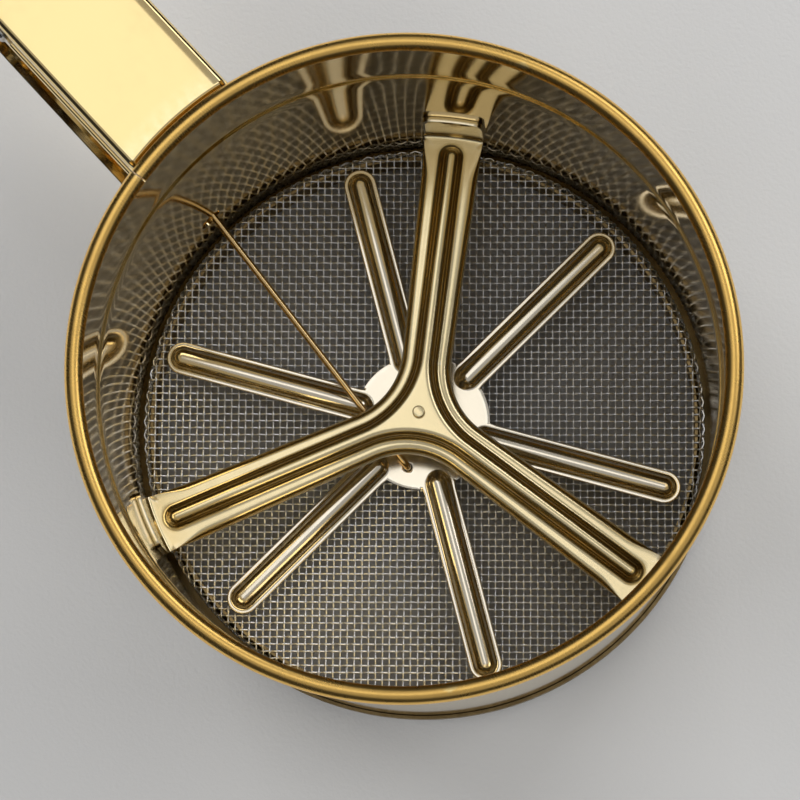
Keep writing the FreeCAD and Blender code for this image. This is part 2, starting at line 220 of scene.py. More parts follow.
def rounded_outline(corners: Sequence[tuple[float, float]], radius: float, count: int = 4) -> Array:
    """A closed outline with each corner replaced by a short curve.

    The curve is a quadratic one whose ends lie up to radius away from the corner along both its sides, so
    its point at t is (1-t)^2 a + 2t(1-t) corner + t^2 b.

    Args:
        corners: the outline's (across, up) corners in turn.
        radius: how far from a corner its curve starts.
        count: points on each curve.

    Returns:
        (corners x count, 2) places.
    """
    p = np.array(corners, float)
    before, after = np.roll(p, 1, axis=0) - p, np.roll(p, -1, axis=0) - p
    near, far = np.linalg.norm(before, axis=1), np.linalg.norm(after, axis=1)
    a = p + before * (np.minimum(radius, 0.45 * near) / near)[:, None]
    b = p + after * (np.minimum(radius, 0.45 * far) / far)[:, None]
    t = np.linspace(0.0, 1.0, count)[None, :, None]
    curve = (1 - t) ** 2 * a[:, None] + 2 * t * (1 - t) * p[:, None] + t**2 * b[:, None]
    return curve.reshape(-1, 2)


def turned_piece(outline: Array, columns: int, axis: Axis = Axis.CUP, centre: Sequence[float] = (0.0, 0.0),
                 gap: tuple[float, float] | None = None) -> Surface:
    """Turn a closed outline of (radius, along) points about an axis.

    A point of the outline at angle a goes to (radius cos a, radius sin a) across the axis, at its own place
    along it. With a gap, the turning starts and ends at the gap's sides and both ends are closed.

    Args:
        outline: (n, 2) radius and place along the axis.
        columns: steps round the axis.
        axis: the cup's axis, or a line along Y for the pin.
        centre: for the pin, the (x, z) of its line.
        gap: where the gap starts and how wide it is, in radians.

    Returns:
        A closed surface.
    """
    steps = np.arange(columns + (1 if gap else 0))
    angles = TURN * steps / columns if gap is None else gap[0] + gap[1] + (TURN - gap[1]) * steps / columns
    across = outline[None, :, 0] * np.cos(angles)[:, None]
    up = outline[None, :, 0] * np.sin(angles)[:, None]
    along = np.broadcast_to(outline[None, :, 1], across.shape)
    if axis is Axis.CUP:
        points = np.stack([across, up, along], -1)
    else:
        points = np.stack([across + centre[0], along, up + centre[1]], -1)
    surface = Surface.grid(points, wrap_rows=gap is None, wrap_columns=True)
    if gap is None:
        return surface
    return Surface.joined([surface, band_cap(points[0]), band_cap(points[-1]).flipped()])


def band_cap(ring: Array) -> Surface:
    """Close the end of a sheet whose outline goes up one side and back down the other: each point is joined
    to the one that faces it, counted from the other end."""
    half = len(ring) // 2
    return Surface.grid(np.stack([ring[:half], ring[::-1][:half]]))


def swept(path: Array, reference: Array, radius: float, sides: int, ends: Ends = Ends.FLAT) -> Surface:
    """Carry a circle along a path.

    At each point the circle lies across the path's direction t. Its first axis n is the reference with its
    part along t taken away, its second is t x n, and its points are path + radius (n cos a + (t x n) sin a).
    Round ends add rings whose radius falls as a quarter circle does.

    Args:
        path: (n, 3) centre line.
        reference: a vector, or one for each point, that is never along the path.
        radius: the circle's radius.
        sides: points round the circle.
        ends: flat or round.

    Returns:
        A closed bar.
    """
    along = unit(np.gradient(path, axis=0))
    scale = np.full(len(path), radius)
    reference = np.broadcast_to(reference, path.shape)
    if ends is Ends.ROUND:
        rise = np.radians(np.array([80.0, 55.0, 28.0]))
        tail = path[0] - along[0] * radius * np.sin(rise)[:, None]
        head = path[-1] + along[-1] * radius * np.sin(rise[::-1])[:, None]
        path = np.vstack([tail, path, head])
        along = np.vstack([np.repeat(along[:1], 3, 0), along, np.repeat(along[-1:], 3, 0)])
        reference = np.vstack([np.repeat(reference[:1], 3, 0), reference, np.repeat(reference[-1:], 3, 0)])
        scale = np.concatenate([radius * np.cos(rise), scale, radius * np.cos(rise[::-1])])
    n = unit(reference - np.einsum("ij,ij->i", reference, along)[:, None] * along)
    b = np.cross(along, n)
    a = TURN * np.arange(sides) / sides
    ring = n[:, None] * np.cos(a)[None, :, None] + b[:, None] * np.sin(a)[None, :, None]
    points = path[:, None] + scale[:, None, None] * ring
    caps = [Surface.fan(points[0], points[0].mean(0)), Surface.fan(points[-1], points[-1].mean(0)).flipped()]
    return Surface.joined([Surface.grid(points, wrap_columns=True), *caps])


def bent_path(corners: Sequence[Sequence[float]], radius: float, count: int = 9) -> Array:
    """A line through space with its inner corners bent.

    A bend runs from one radius before its corner to one after it on the quadratic curve
    (1-t)^2 a + 2t(1-t) corner + t^2 b.

    Args:
        corners: the line's ends and corners in turn.
        radius: how far from a corner its bend starts.
        count: points on each bend.

    Returns:
        (n, 3) places.
    """
    p = np.array(corners, float)
    inner = p[1:-1]
    a = inner + unit(p[:-2] - inner) * radius
    b = inner + unit(p[2:] - inner) * radius
    t = np.linspace(0.0, 1.0, count)[None, :, None]
    bends = (1 - t) ** 2 * a[:, None] + 2 * t * (1 - t) * inner[:, None] + t**2 * b[:, None]
    return np.vstack([p[:1], bends.reshape(-1, 3), p[-1:]])


def perforated(
    plane: Array,
    wrap: bool,
    window: tuple[int, int, int, int],
    centre: tuple[float, float],
    radius: float,
    place: Callable[[Array, Array], Array],
    rings: int = 5,
) -> tuple[Surface, Array]:
    """A gridded sheet with a round hole.

    The cells of a window are left out. Rings of points lead from the window's border to the hole: ring t is
    (1 - t) border + t hole, where the hole's points lie a radius from the centre towards the border's.

    Args:
        plane: (rows, columns, 2) places in a flat plane, measured in metres.
        wrap: True where the last column joins the first.
        window: first row, last row, first column and last column of the border.
        centre: the hole's middle in the plane.
        radius: the hole's radius.
        place: turns flat places (a, b) into points in space.
        rings: rings between border and hole.

    Returns:
        The surface, and the (n, 2) points of the hole's edge in the plane.
    """
    r0, r1, c0, c1 = window
    rows, columns = plane.shape[:2]
    whole = Surface.grid(place(plane[..., 0], plane[..., 1]), wrap_columns=wrap)
    cell = np.arange(len(whole.faces))
    per_row = columns if wrap else columns - 1
    row, column = cell // per_row, cell % per_row
    inside = (row >= r0) & (row < r1) & (column >= c0) & (column < c1)
    border = np.vstack([
        plane[r0, c0:c1],
        plane[r0:r1, c1],
        plane[r1, c1:c0:-1],
        plane[r1:r0:-1, c0],
    ])
    edge = np.array(centre) + radius * unit(border - np.array(centre))
    t = np.linspace(0.0, 1.0, rings + 1)[:, None, None]
    between = (1 - t) * border[None] + t * edge[None]
    patch = Surface.grid(place(between[..., 0], between[..., 1]), wrap_columns=True)
    return Surface.joined([Surface(whole.points, whole.faces[~inside]), patch]), edge


# ---------------------------------------------------------------------------------------------------------
# Pieces
# ---------------------------------------------------------------------------------------------------------


def mesh_object(name: str, surface: Surface) -> bpy.types.Object:
    """Put a surface into a new mesh object at the origin.

    Args:
        name: the piece's name.
        surface: its points and faces.

    Returns:
        The linked object.
    """
    mesh = bpy.data.meshes.new(name)
    counts = np.where(surface.faces[:, 3] < 0, 3, 4)
    corners = surface.faces[surface.faces >= 0]
    mesh.vertices.add(len(surface.points))
    mesh.vertices.foreach_set("co", surface.points.astype(np.float32).ravel())
    mesh.loops.add(len(corners))
    mesh.loops.foreach_set("vertex_index", corners.astype(np.int32))
    mesh.polygons.add(len(counts))
    mesh.polygons.foreach_set("loop_start", np.concatenate([[0], np.cumsum(counts)[:-1]]).astype(np.int32))
    mesh.update(calc_edges=True)
    mesh.validate()
    piece = bpy.data.objects.new(name, mesh)
    bpy.context.scene.collection.objects.link(piece)
    return piece


def weld(piece: bpy.types.Object, closed: bool) -> None:
    """Merge points that coincide and, on a closed piece, turn every face outwards.

    Args:
        piece: the object to weld.
        closed: True for a shell that has an inside.
    """
    edit = bmesh.new()
    edit.from_mesh(piece.data)
    bmesh.ops.remove_doubles(edit, verts=edit.verts, dist=WELD)
    bmesh.ops.dissolve_degenerate(edit, dist=WELD, edges=edit.edges)
    loose = [vert for vert in edit.verts if not vert.link_faces]
    bmesh.ops.delete(edit, geom=loose, context="VERTS")
    if closed:
        bmesh.ops.recalc_face_normals(edit, faces=edit.faces)
    edit.to_mesh(piece.data)
    edit.free()


def shade(piece: bpy.types.Object, sharp: float) -> None:
    """Shade a piece smoothly, except over edges that bend by more than a sharp angle in degrees."""
    mesh = piece.data
    mesh.polygons.foreach_set("use_smooth", np.ones(len(mesh.polygons), bool))
    mesh.set_sharp_from_angle(angle=math.radians(sharp))
    mesh.update()


def solid_piece(name: str, surface: Surface, sharp: float = 40.0) -> bpy.types.Object:
    """A closed piece, welded and smooth.

    Args:
        name: the piece's name.
        surface: a closed shell, or several.
        sharp: bends over this many degrees stay sharp.

    Returns:
        The finished object.
    """
    piece = mesh_object(name, surface)
    weld(piece, closed=True)
    shade(piece, sharp)
    return piece


def sheet_piece(name: str, surface: Surface, thickness: float, edge: float, sharp: float = 40.0,
                crown: Callable[[bpy.types.Object], None] | None = None) -> bpy.types.Object:
    """A pressed sheet: the surface is its seen side, and the metal lies behind that.

    Args:
        name: the piece's name.
        surface: the seen side, facing out.
        thickness: the sheet's thickness.
        edge: how much its cut edges are broken.
        sharp: bends over this many degrees stay sharp.
        crown: what else to do to the seen side before it gets its thickness.

    Returns:
        The finished object, with its modifiers made part of its mesh.
    """
    piece = mesh_object(name, surface)
    weld(piece, closed=False)
    if crown is not None:
        crown(piece)
    wall = piece.modifiers.new("wall", "SOLIDIFY")
    wall.thickness = thickness
    wall.offset = -1.0
    wall.use_even_offset = True
    wall.thickness_clamp = 0.0
    broken = piece.modifiers.new("broken_edges", "BEVEL")
    broken.width = edge
    broken.segments = 2
    broken.limit_method = "ANGLE"
    broken.angle_limit = math.radians(60.0)
    settled(piece)
    shade(piece, sharp)
    return piece


def settled(piece: bpy.types.Object) -> None:
    """Replace a piece's mesh by what its modifiers make of it, and take them away."""
    seen = piece.evaluated_get(bpy.context.evaluated_depsgraph_get())
    final = bpy.data.meshes.new_from_object(seen)
    final.name = piece.name
    piece.modifiers.clear()
    piece.data = final


def placed(
    piece: bpy.types.Object, body: Body, node: str, material: bpy.types.Material
) -> bpy.types.Object:
    """Dress a piece and fix it to the frame.

    Args:
        piece: the finished object.
        body: what it moves with.
        node: the frame's node that it stands for.
        material: what it is made of.

    Returns:
        The same object.
    """
    piece.data.materials.clear()
    piece.data.materials.append(material)
    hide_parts(node)
    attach(piece, body.value)
    log.info("%s: %d faces on %s", piece.name, len(piece.data.polygons), body.value)
    return piece


# ---------------------------------------------------------------------------------------------------------
# Sub-assemblies
# ---------------------------------------------------------------------------------------------------------


@dataclass
class CupWall:
    """The drawn cup: a thin polished wall with a step under its mouth and a hole for the wire."""

    material: bpy.types.Material
    inner_radius: float = 46.9 * MM
    thickness: float = 0.5 * MM
    mouth_step: float = 0.4 * MM
    crease_height: float = 55.6 * MM
    crease_half: float = 0.6 * MM
    bottom: float = 0.5 * MM
    top: float = 70.8 * MM
    hole_radius: float = 2.0 * MM
    hole_side: float = 3.3 * MM
    hole_height: float = 20.4 * MM
    columns: int = 360
    window: int = 4

    def radius(self, height: Array) -> Array:
        """The inner face's radius: it grows by the mouth's step, eased over the crease."""
        share = (height - self.crease_height + self.crease_half) / (2.0 * self.crease_half)
        return self.inner_radius + self.mouth_step * eased(share)

    def heights(self) -> Array:
        """Rows up the wall: even ones, a square window at the hole, and close ones over the crease."""
        step = TURN * self.inner_radius / self.columns
        low, high = self.hole_height - self.window * step, self.hole_height + self.window * step
        window = np.linspace(low, high, 2 * self.window + 1)
        crease = self.crease_height + self.crease_half * np.linspace(-1.0, 1.0, 9)
        return np.concatenate([
            np.linspace(self.bottom, low, 6)[:-1],
            window,
            np.linspace(high, crease[0], 10)[1:-1],
            crease,
            np.linspace(crease[-1], self.top, 6)[1:],
        ])

    def face(self, outwards: float) -> tuple[Surface, Array]:
        """One face of the wall, unrolled as (arc length, height) and rolled up again about the cup's axis.

        Args:
            outwards: how far the face lies outside the inner one.

        Returns:
            The face, and its hole's edge in space.
        """
        middle = math.asin(self.hole_side / self.inner_radius)
        angles = middle + TURN * (np.arange(self.columns) - self.columns // 2) / self.columns
        heights = self.heights()
        along, up = np.meshgrid(angles * self.inner_radius, heights)
        row = int(np.argmin(np.abs(heights - self.hole_height)))
        column = self.columns // 2
        window = (row - self.window, row + self.window, column - self.window, column + self.window)

        def roll(a: Array, b: Array) -> Array:
            """Points at angle a / inner radius and height b."""
            r = self.radius(b) + outwards
            turn = a / self.inner_radius
            return np.stack([r * np.cos(turn), r * np.sin(turn), b], -1)

        centre = (middle * self.inner_radius, self.hole_height)
        surface, edge = perforated(np.stack([along, up], -1), True, window, centre, self.hole_radius, roll)
        return surface, roll(edge[:, 0], edge[:, 1])

    def build(self) -> list[bpy.types.Object]:
        """Both faces, the hole's edge, and the wall's top and bottom edges, as one closed shell."""
        inner, inner_hole = self.face(0.0)
        outer, outer_hole = self.face(self.thickness)
        count = len(self.heights())
        shape = (count, self.columns, 3)
        rings = [side.points[: count * self.columns].reshape(shape) for side in (inner, outer)]
        edges = [Surface.grid(np.stack([rings[0][row], rings[1][row]]), wrap_columns=True) for row in (0, -1)]
        hole = Surface.grid(np.stack([inner_hole, outer_hole]), wrap_columns=True)
        wall = solid_piece("cup_wall", Surface.joined([inner, outer, hole, *edges]), sharp=30.0)
        return [placed(wall, Body.HOUSING, "cup_body", self.material)]


@dataclass
class RimBead:
    """The rolled rim: an oval bead round the mouth, butted at a fine seam beside the handle."""

    material: bpy.types.Material
    inner_radius: float = 47.25 * MM
    outer_radius: float = 50.0 * MM
    half_height: float = 1.2 * MM
    middle_height: float = 70.8 * MM
    seam_azimuth: float = 11.4
    seam_gap: float = 0.25 * MM

    def build(self) -> list[bpy.types.Object]:
        """Turn the oval outline round the mouth from one side of the seam to the other."""
        a = TURN * np.arange(32) / 32
        half_width = (self.outer_radius - self.inner_radius) / 2.0
        across = self.inner_radius + half_width + half_width * np.cos(a)
        outline = np.stack([across, self.middle_height + self.half_height * np.sin(a)], -1)
        gap = (math.radians(self.seam_azimuth), self.seam_gap / self.outer_radius)
        bead = solid_piece("rim_bead", turned_piece(outline, 480, gap=gap))
        return [placed(bead, Body.HOUSING, "rim_ring", self.material)]


@dataclass
class BaseRing:
    """The ring under the cup: a sleeve inside the wall, a flat foot, and a hem up the wall's lower edge."""

    material: bpy.types.Material
    sleeve_radius: float = 44.85 * MM
    sleeve_top: float = 8.0 * MM
    foot_bend: float = 1.2 * MM
    sheet: float = 0.5 * MM
    hem_radius: float = 47.75 * MM
    hem_bend: float = 0.45 * MM
    hem_top: float = 3.0 * MM

    def middle_line(self) -> Array:
        """The sheet's middle: down the sleeve, a bend, out along the foot, a small bend and up the hem."""
        low = self.sheet / 2.0
        bend = (self.sleeve_radius + self.foot_bend, low + self.foot_bend)
        turn = (self.hem_radius - self.hem_bend, low + self.hem_bend)
        sleeve = np.stack([np.full(5, self.sleeve_radius), np.linspace(self.sleeve_top, bend[1], 6)[:-1]], -1)
        foot = np.stack([np.linspace(bend[0], turn[0], 6)[1:-1], np.full(4, low)], -1)
        hem = np.stack([np.full(5, self.hem_radius), np.linspace(turn[1], self.hem_top, 6)[1:]], -1)
        bends = [arc(bend, self.foot_bend, 180.0, 270.0, 9), arc(turn, self.hem_bend, 270.0, 360.0, 9)]
        return np.vstack([sleeve, bends[0], foot, bends[1], hem])

    def build(self) -> list[bpy.types.Object]:
        """Turn the sheet's outline about the cup's axis."""
        ring = turned_piece(strip(self.middle_line(), self.sheet), 288)
        piece = solid_piece("base_foot", ring)
        return [placed(piece, Body.HOUSING, "base_ring", self.material)]


@dataclass
class WovenScreen:
    """A plain-woven wire cloth, laid flat and turned down over a shoulder into the sleeve."""

    material: bpy.types.Material
    pitch: float = 1.15 * MM
    wire_radius: float = 0.15 * MM
    wave: float = 0.16 * MM
    height: float = 8.35 * MM
    flat_radius: float = 44.9 * MM
    shoulder_radius: float = 1.1 * MM
    skirt_bottom: float = 3.2 * MM
    azimuth: float = 47.0
    samples_per_pitch: int = 4
    sides: int = 6
    unevenness: float = 0.035 * MM

    def cloth_radius(self) -> float:
        """The cut cloth's radius: the flat part, the shoulder's quarter turn and the skirt."""
        skirt = self.height - self.shoulder_radius - self.skirt_bottom
        return self.flat_radius + QUARTER * self.shoulder_radius + skirt

    def formed(self, cloth: Array) -> tuple[Array, Array]:
        """Where points of the flat cloth go when it is formed, keeping their distance along the cloth.

        Distance s from the centre goes to radius s while flat, round a quarter circle over the shoulder, and
        straight down the skirt.

        Args:
            cloth: (n, 2) places on the flat cloth.

        Returns:
            (n, 3) places on the formed cloth, and the (n, 3) directions out of it.
        """
        s = np.maximum(np.linalg.norm(cloth, axis=1), 1e-9)
        way = cloth / s[:, None]
        bend = np.clip((s - self.flat_radius) / self.shoulder_radius, 0.0, QUARTER)
        drop = np.maximum(s - self.flat_radius - QUARTER * self.shoulder_radius, 0.0)
        r = np.minimum(s, self.flat_radius) + self.shoulder_radius * np.sin(bend)
        z = self.height - self.shoulder_radius * (1.0 - np.cos(bend)) - drop
        out = np.column_stack([way * np.sin(bend)[:, None], np.cos(bend)])
        return np.column_stack([way * r[:, None], z]), out

    def wire(self, index: int, crossing: bool) -> Surface:
        """One wire, over and under its neighbours by a cosine of one crossing's phase.

        Args:
            index: its number from the middle of the cloth.
            crossing: False along the cloth's first direction, True along its second.

        Returns:
            The wire's surface.
        """
        offset = (index + 0.5) * self.pitch
        half = math.sqrt(self.cloth_radius() ** 2 - offset**2)
        count = max(4, round(2.0 * half / self.pitch * self.samples_per_pitch))
        run = np.linspace(-half, half, count)
        drift = self.unevenness * np.sin(run / (7.3 * MM) + 2.4 * index) * math.sin(1.7 * index + 0.6)
        first, second = run, np.full(count, offset) + drift
        if crossing:
            first, second = second, run
        turn = math.radians(self.azimuth)
        cloth = np.column_stack([
            first * math.cos(turn) - second * math.sin(turn),
            first * math.sin(turn) + second * math.cos(turn),
        ])
        places, out = self.formed(cloth)
        side = (-1.0 if crossing else 1.0) * (1.0 if index % 2 == 0 else -1.0)
        lift = side * self.wave * np.cos(math.pi * (run / self.pitch - 0.5))
        return swept(places + out * lift[:, None], out, self.wire_radius, self.sides)

    def build(self) -> list[bpy.types.Object]:
        """Weave the cloth in four pieces: the two halves of the wires in each direction."""
        most = int(self.cloth_radius() / self.pitch - 0.5)
        halves = {"near": range(-most - 1, 0), "far": range(0, most + 1)}
        pieces = []
        for crossing, direction in ((False, "warp"), (True, "weft")):
            for half, indices in halves.items():
                wires = Surface.joined([self.wire(index, crossing) for index in indices])
                wires = wires if wires.volume() > 0 else wires.flipped()
                piece = mesh_object(f"screen_{direction}_{half}", wires)
                shade(piece, 60.0)
                pieces.append(placed(piece, Body.HOUSING, "mesh_screen", self.material))
        return pieces


@dataclass
class PressedArm:
    """How a pressed sheet rises across an arm: a turned-down edge, a flat margin and a rounded rib.

    From the rib's foot inwards, a hollow fillet leads to a round back. Both turn through the same angle,
    twice the arctangent of height over half-width, so that the rib starts and ends level.
    """

    top: float
    rise: float
    half_width: float
    fillet: float
    edge_radius: float
    lip: float

    def rib(self) -> tuple[Array, Array]:
        """The rib's profile from its foot to its back.

        Returns:
            Shares of the half-width and shares of the rise.
        """
        turn = 2.0 * math.atan2(self.rise, self.half_width)
        whole = self.half_width / math.sin(turn)
        back = whole - self.fillet
        a = np.linspace(0.0, turn, 7)
        b = np.linspace(turn, 0.0, 13)[1:]
        across = np.concatenate([self.fillet * np.sin(a), self.half_width - back * np.sin(b)])
        up = np.concatenate([self.fillet * (1 - np.cos(a)), self.rise - back * (1 - np.cos(b))])
        return across / self.half_width, up / self.rise

    def surface(self, outline: Array, spine: Array, margin: Array, edge: Array, closed: bool) -> Surface:
        """Lay the profile along lines that run from an outline to a spine.

        A line's point at distance d from the outline is outline + d (spine - outline) / length. Its height
        is the top less the rounded edge near the outline, then the top plus the rib's profile past the
        margin, and level at the rib's full height from there to the spine.

        Args:
            outline: (n, 2) edge of the plan.
            spine: (n, 2) points of the rib's middle line that they face.
            margin: (n,) distances from the outline to the rib's foot.
            edge: (n,) shares from 0, a plain edge, to 1, fully turned down.
            closed: True where the last line meets the first.

        Returns:
            The sheet's upper side.
        """
        length = np.linalg.norm(spine - outline, axis=1)
        way = (spine - outline) / length[:, None]
        a = np.radians(np.linspace(0.0, 90.0, 7))[None, :]
        radius = (self.edge_radius * edge)[:, None]
        margin = margin[:, None]
        level = length[:, None] - margin - self.half_width
        across, up = self.rib()
        lip = (self.lip * edge)[:, None]
        up = np.concatenate([up, np.ones(3)])
        distance = np.hstack([
            np.zeros_like(lip),
            radius * (1 - np.cos(a)),
            radius + (margin - radius) * np.array([[0.4, 0.8]]),
            margin + self.half_width * across[None, :],
            margin + self.half_width + level * np.array([[0.3, 0.65, 1.0]]),
        ])
        height = np.hstack([
            self.top - radius - lip,
            self.top - radius * (1 - np.sin(a)),
            np.full((len(length), 2), self.top),
            self.top + self.rise * np.broadcast_to(up[None, :], (len(length), len(up))),
        ])
        plan = outline[:, None] + distance[..., None] * way[:, None]
        return Surface.grid(np.dstack([plan, height]), wrap_rows=closed)


@dataclass
class Bracket:
    """The fixed three-arm bracket: ribbed arms that flow together at a crown, with tabs up the wall."""

    material: bpy.types.Material
    underside: float = 19.8 * MM
    sheet: float = 0.8 * MM
    rise: float = 1.7 * MM
    rib_half_width: float = 2.42 * MM
    first_azimuth: float = -49.6
    half_width: float = 4.0 * MM
    taper: float = 1.2
    corner_radius: float = 12.0 * MM
    rib_end: float = 42.4 * MM
    bend_start: float = 45.45 * MM
    bend_radius: float = 0.6 * MM
    tab_top: float = 29.8 * MM
    tab_corner: float = 1.2 * MM
    edge_fade_start: float = 39.0 * MM
    edge_radius: float = 1.35 * MM
    fillet: float = 1.15 * MM
    lip: float = 0.45 * MM
    least_level: float = 0.02 * MM
    crown_radius: float = 9.0 * MM
    crown_flat: float = 0.45
    crown_rounds: int = 4
    crown_levels: int = 10
    fold_steps: int = 13
    boss_radius: float = 3.0 * MM
    boss_taper: float = 0.6 * MM
    boss_hole: float = 1.0 * MM
    boss_corner: float = 0.2 * MM
    cut_edge: float = 0.1 * MM

    def top(self) -> float:
        """The height of the flat margins."""
        return self.underside + self.sheet

    def outline(self) -> tuple[Array, Array, Array]:
        """Half an arm's edge, from the hollow corner's middle out to the tab's fold and in along the fold.

        Returns:
            (n, 2) edge points, (n, 2) points of the arm's middle that they face, and (n,) flat margins.
        """
        from_centre = (self.half_width + self.corner_radius) / math.sin(math.radians(60.0))
        corner = from_centre * np.array([0.5, math.sqrt(0.75)])
        curve = arc(corner, self.corner_radius, -120.0, -90.0 + self.taper, 28)
        slope = math.tan(math.radians(self.taper))
        start = curve[-1]
        x = np.linspace(start[0], self.fold_corner(start, slope)[0], 44)[1:]
        side = np.column_stack([x, start[1] + (x - start[0]) * slope])
        fold_angle = math.atan2(side[-1, 1], side[-1, 0])
        a = np.linspace(fold_angle, 0.0, self.fold_steps + 1)[1:]
        fold = self.bend_start * np.column_stack([np.cos(a), np.sin(a)])
        to_axis = (curve - corner) / self.corner_radius
        reach_down = -curve[:, 1] / to_axis[:, 1]
        curve_spine = np.column_stack([curve[:, 0] + reach_down * to_axis[:, 0], np.zeros(len(curve))])
        side_x = np.minimum(side[:, 0] + side[:, 1] * slope, self.rib_end)
        side_spine = np.column_stack([side_x, np.zeros(len(side))])
        fold_spine = np.tile([self.rib_end, 0.0], (len(fold), 1))
        edge = np.vstack([curve, side, fold])
        spine = np.vstack([curve_spine, side_spine, fold_spine])
        full = np.linalg.norm(spine - edge, axis=1) - self.rib_half_width
        steady = full[len(curve) - 1]
        on_curve = np.arange(len(edge)) < len(curve)
        margin = np.where(on_curve & (full > steady + self.least_level), steady, full)
        return edge, spine, margin

    def fold_corner(self, start: Array, slope: float) -> tuple[float, float]:
        """Where the straight side, y = y0 + slope (x - x0), meets the fold's circle about the cup's axis."""
        c = start[1] - slope * start[0]
        a, b = 1.0 + slope**2, 2.0 * slope * c
        x = (-b + math.sqrt(b * b - 4.0 * a * (c * c - self.bend_start**2))) / (2.0 * a)
        return x, c + slope * x

    def tab(self, fold: Array) -> Surface:
        """The tab: from the fold, a quarter bend upwards and then straight up, with rounded top corners.

        Args:
            fold: (n, 2) points of the whole fold from one side to the other.

        Returns:
            The tab's face towards the cup's axis.
        """
        angle = np.arctan2(fold[:, 1], fold[:, 0])
        a = np.radians(np.linspace(0.0, 90.0, 9))
        half = abs(fold[0, 1])
        past = np.clip(np.abs(fold[:, 1]) - (half - self.tab_corner), 0.0, self.tab_corner)
        crown = self.tab_top - self.tab_corner + np.sqrt(self.tab_corner**2 - past**2)
        bend_r = self.bend_start + self.bend_radius * np.sin(a)
        bend_z = self.top() + self.bend_radius * (1 - np.cos(a))
        t = np.linspace(0.0, 1.0, 7)[1:, None]
        radius = np.concatenate([bend_r, np.full(len(t), bend_r[-1])])[:, None] * np.ones(len(angle))
        upright = bend_z[-1] + t * (crown - bend_z[-1])[None, :]
        height = np.vstack([bend_z[:, None] * np.ones(len(angle)), upright])
        points = np.stack([radius * np.cos(angle), radius * np.sin(angle), height], -1)
        return Surface.grid(points)

    def arm(self) -> Surface:
        """One whole arm along +X: two mirrored halves and the tab."""
        edge, spine, margin = self.outline()
        profile = PressedArm(
            self.top(), self.rise, self.rib_half_width, self.fillet, self.edge_radius, self.lip
        )
        distance = np.linalg.norm(edge, axis=1)
        on_fold = np.arange(len(edge)) >= len(edge) - self.fold_steps
        fade = 1.0 - eased((distance - self.edge_fade_start) / (self.bend_start - self.edge_fade_start))
        half = profile.surface(edge, spine, margin, np.where(on_fold, 0.0, fade), closed=False)
        half = half if upward(half) else half.flipped()
        fold = edge[-self.fold_steps - 1 :]
        whole_fold = np.vstack([fold, (fold * np.array([1.0, -1.0]))[-2::-1]])
        tab = self.tab(whole_fold)
        tab = tab if upward(tab) else tab.flipped()
        return Surface.joined([half, half.mirrored(), tab])

    def crown(self, piece: bpy.types.Object) -> None:
        """Even out the heights near the cup's axis, where the three ribs flow together.

        A point's share is 1 out to the crown's flat part and falls to 0 at the crown's radius.
        """
        group = piece.vertex_groups.new(name="crown")
        places = np.empty(len(piece.data.vertices) * 3)
        piece.data.vertices.foreach_get("co", places)
        distance = np.linalg.norm(places.reshape(-1, 3)[:, :2], axis=1)
        slope = (1.0 - self.crown_flat) * self.crown_radius
        share = 1.0 - eased((distance - self.crown_flat * self.crown_radius) / slope)
        for step in range(1, self.crown_levels + 1):
            chosen = np.flatnonzero(np.ceil(share * self.crown_levels) == step)
            group.add(chosen.tolist(), step / self.crown_levels, "REPLACE")
        even = piece.modifiers.new("crown", "SMOOTH")
        even.vertex_group = group.name
        even.use_x = even.use_y = False
        even.factor = 0.5
        even.iterations = self.crown_rounds

    def build(self) -> list[bpy.types.Object]:
        """Three arms about the cup's axis, and the collar that sits between the crown and the spacer."""
        arm = self.arm()
        arms = [arm.turned(math.radians(self.first_azimuth + 120.0 * k)) for k in range(3)]
        bracket = sheet_piece("bracket", Surface.joined(arms), self.sheet, self.cut_edge, crown=self.crown)
        low, high = self.underside, self.top() + self.rise - self.sheet
        hole, upper = self.boss_hole, self.boss_radius - self.boss_taper
        outline = [(hole, low), (self.boss_radius, low), (upper, high), (hole, high)]
        collar = solid_piece("bracket_collar", turned_piece(rounded_outline(outline, self.boss_corner), 64))
        return [placed(p, Body.HOUSING, "spider", self.material) for p in (bracket, collar)]


def facing(surface: Surface, way: Sequence[float]) -> bool:
    """True where a surface's faces point more along a direction than against it."""
    a, b, c = (surface.points[surface.faces[:, k]] for k in range(3))
    return float((np.cross(b - a, c - a) @ np.array(way)).sum()) > 0.0


def upward(surface: Surface) -> bool:
    """True where a surface's faces point more up than down."""
    return facing(surface, (0.0, 0.0, 1.0))


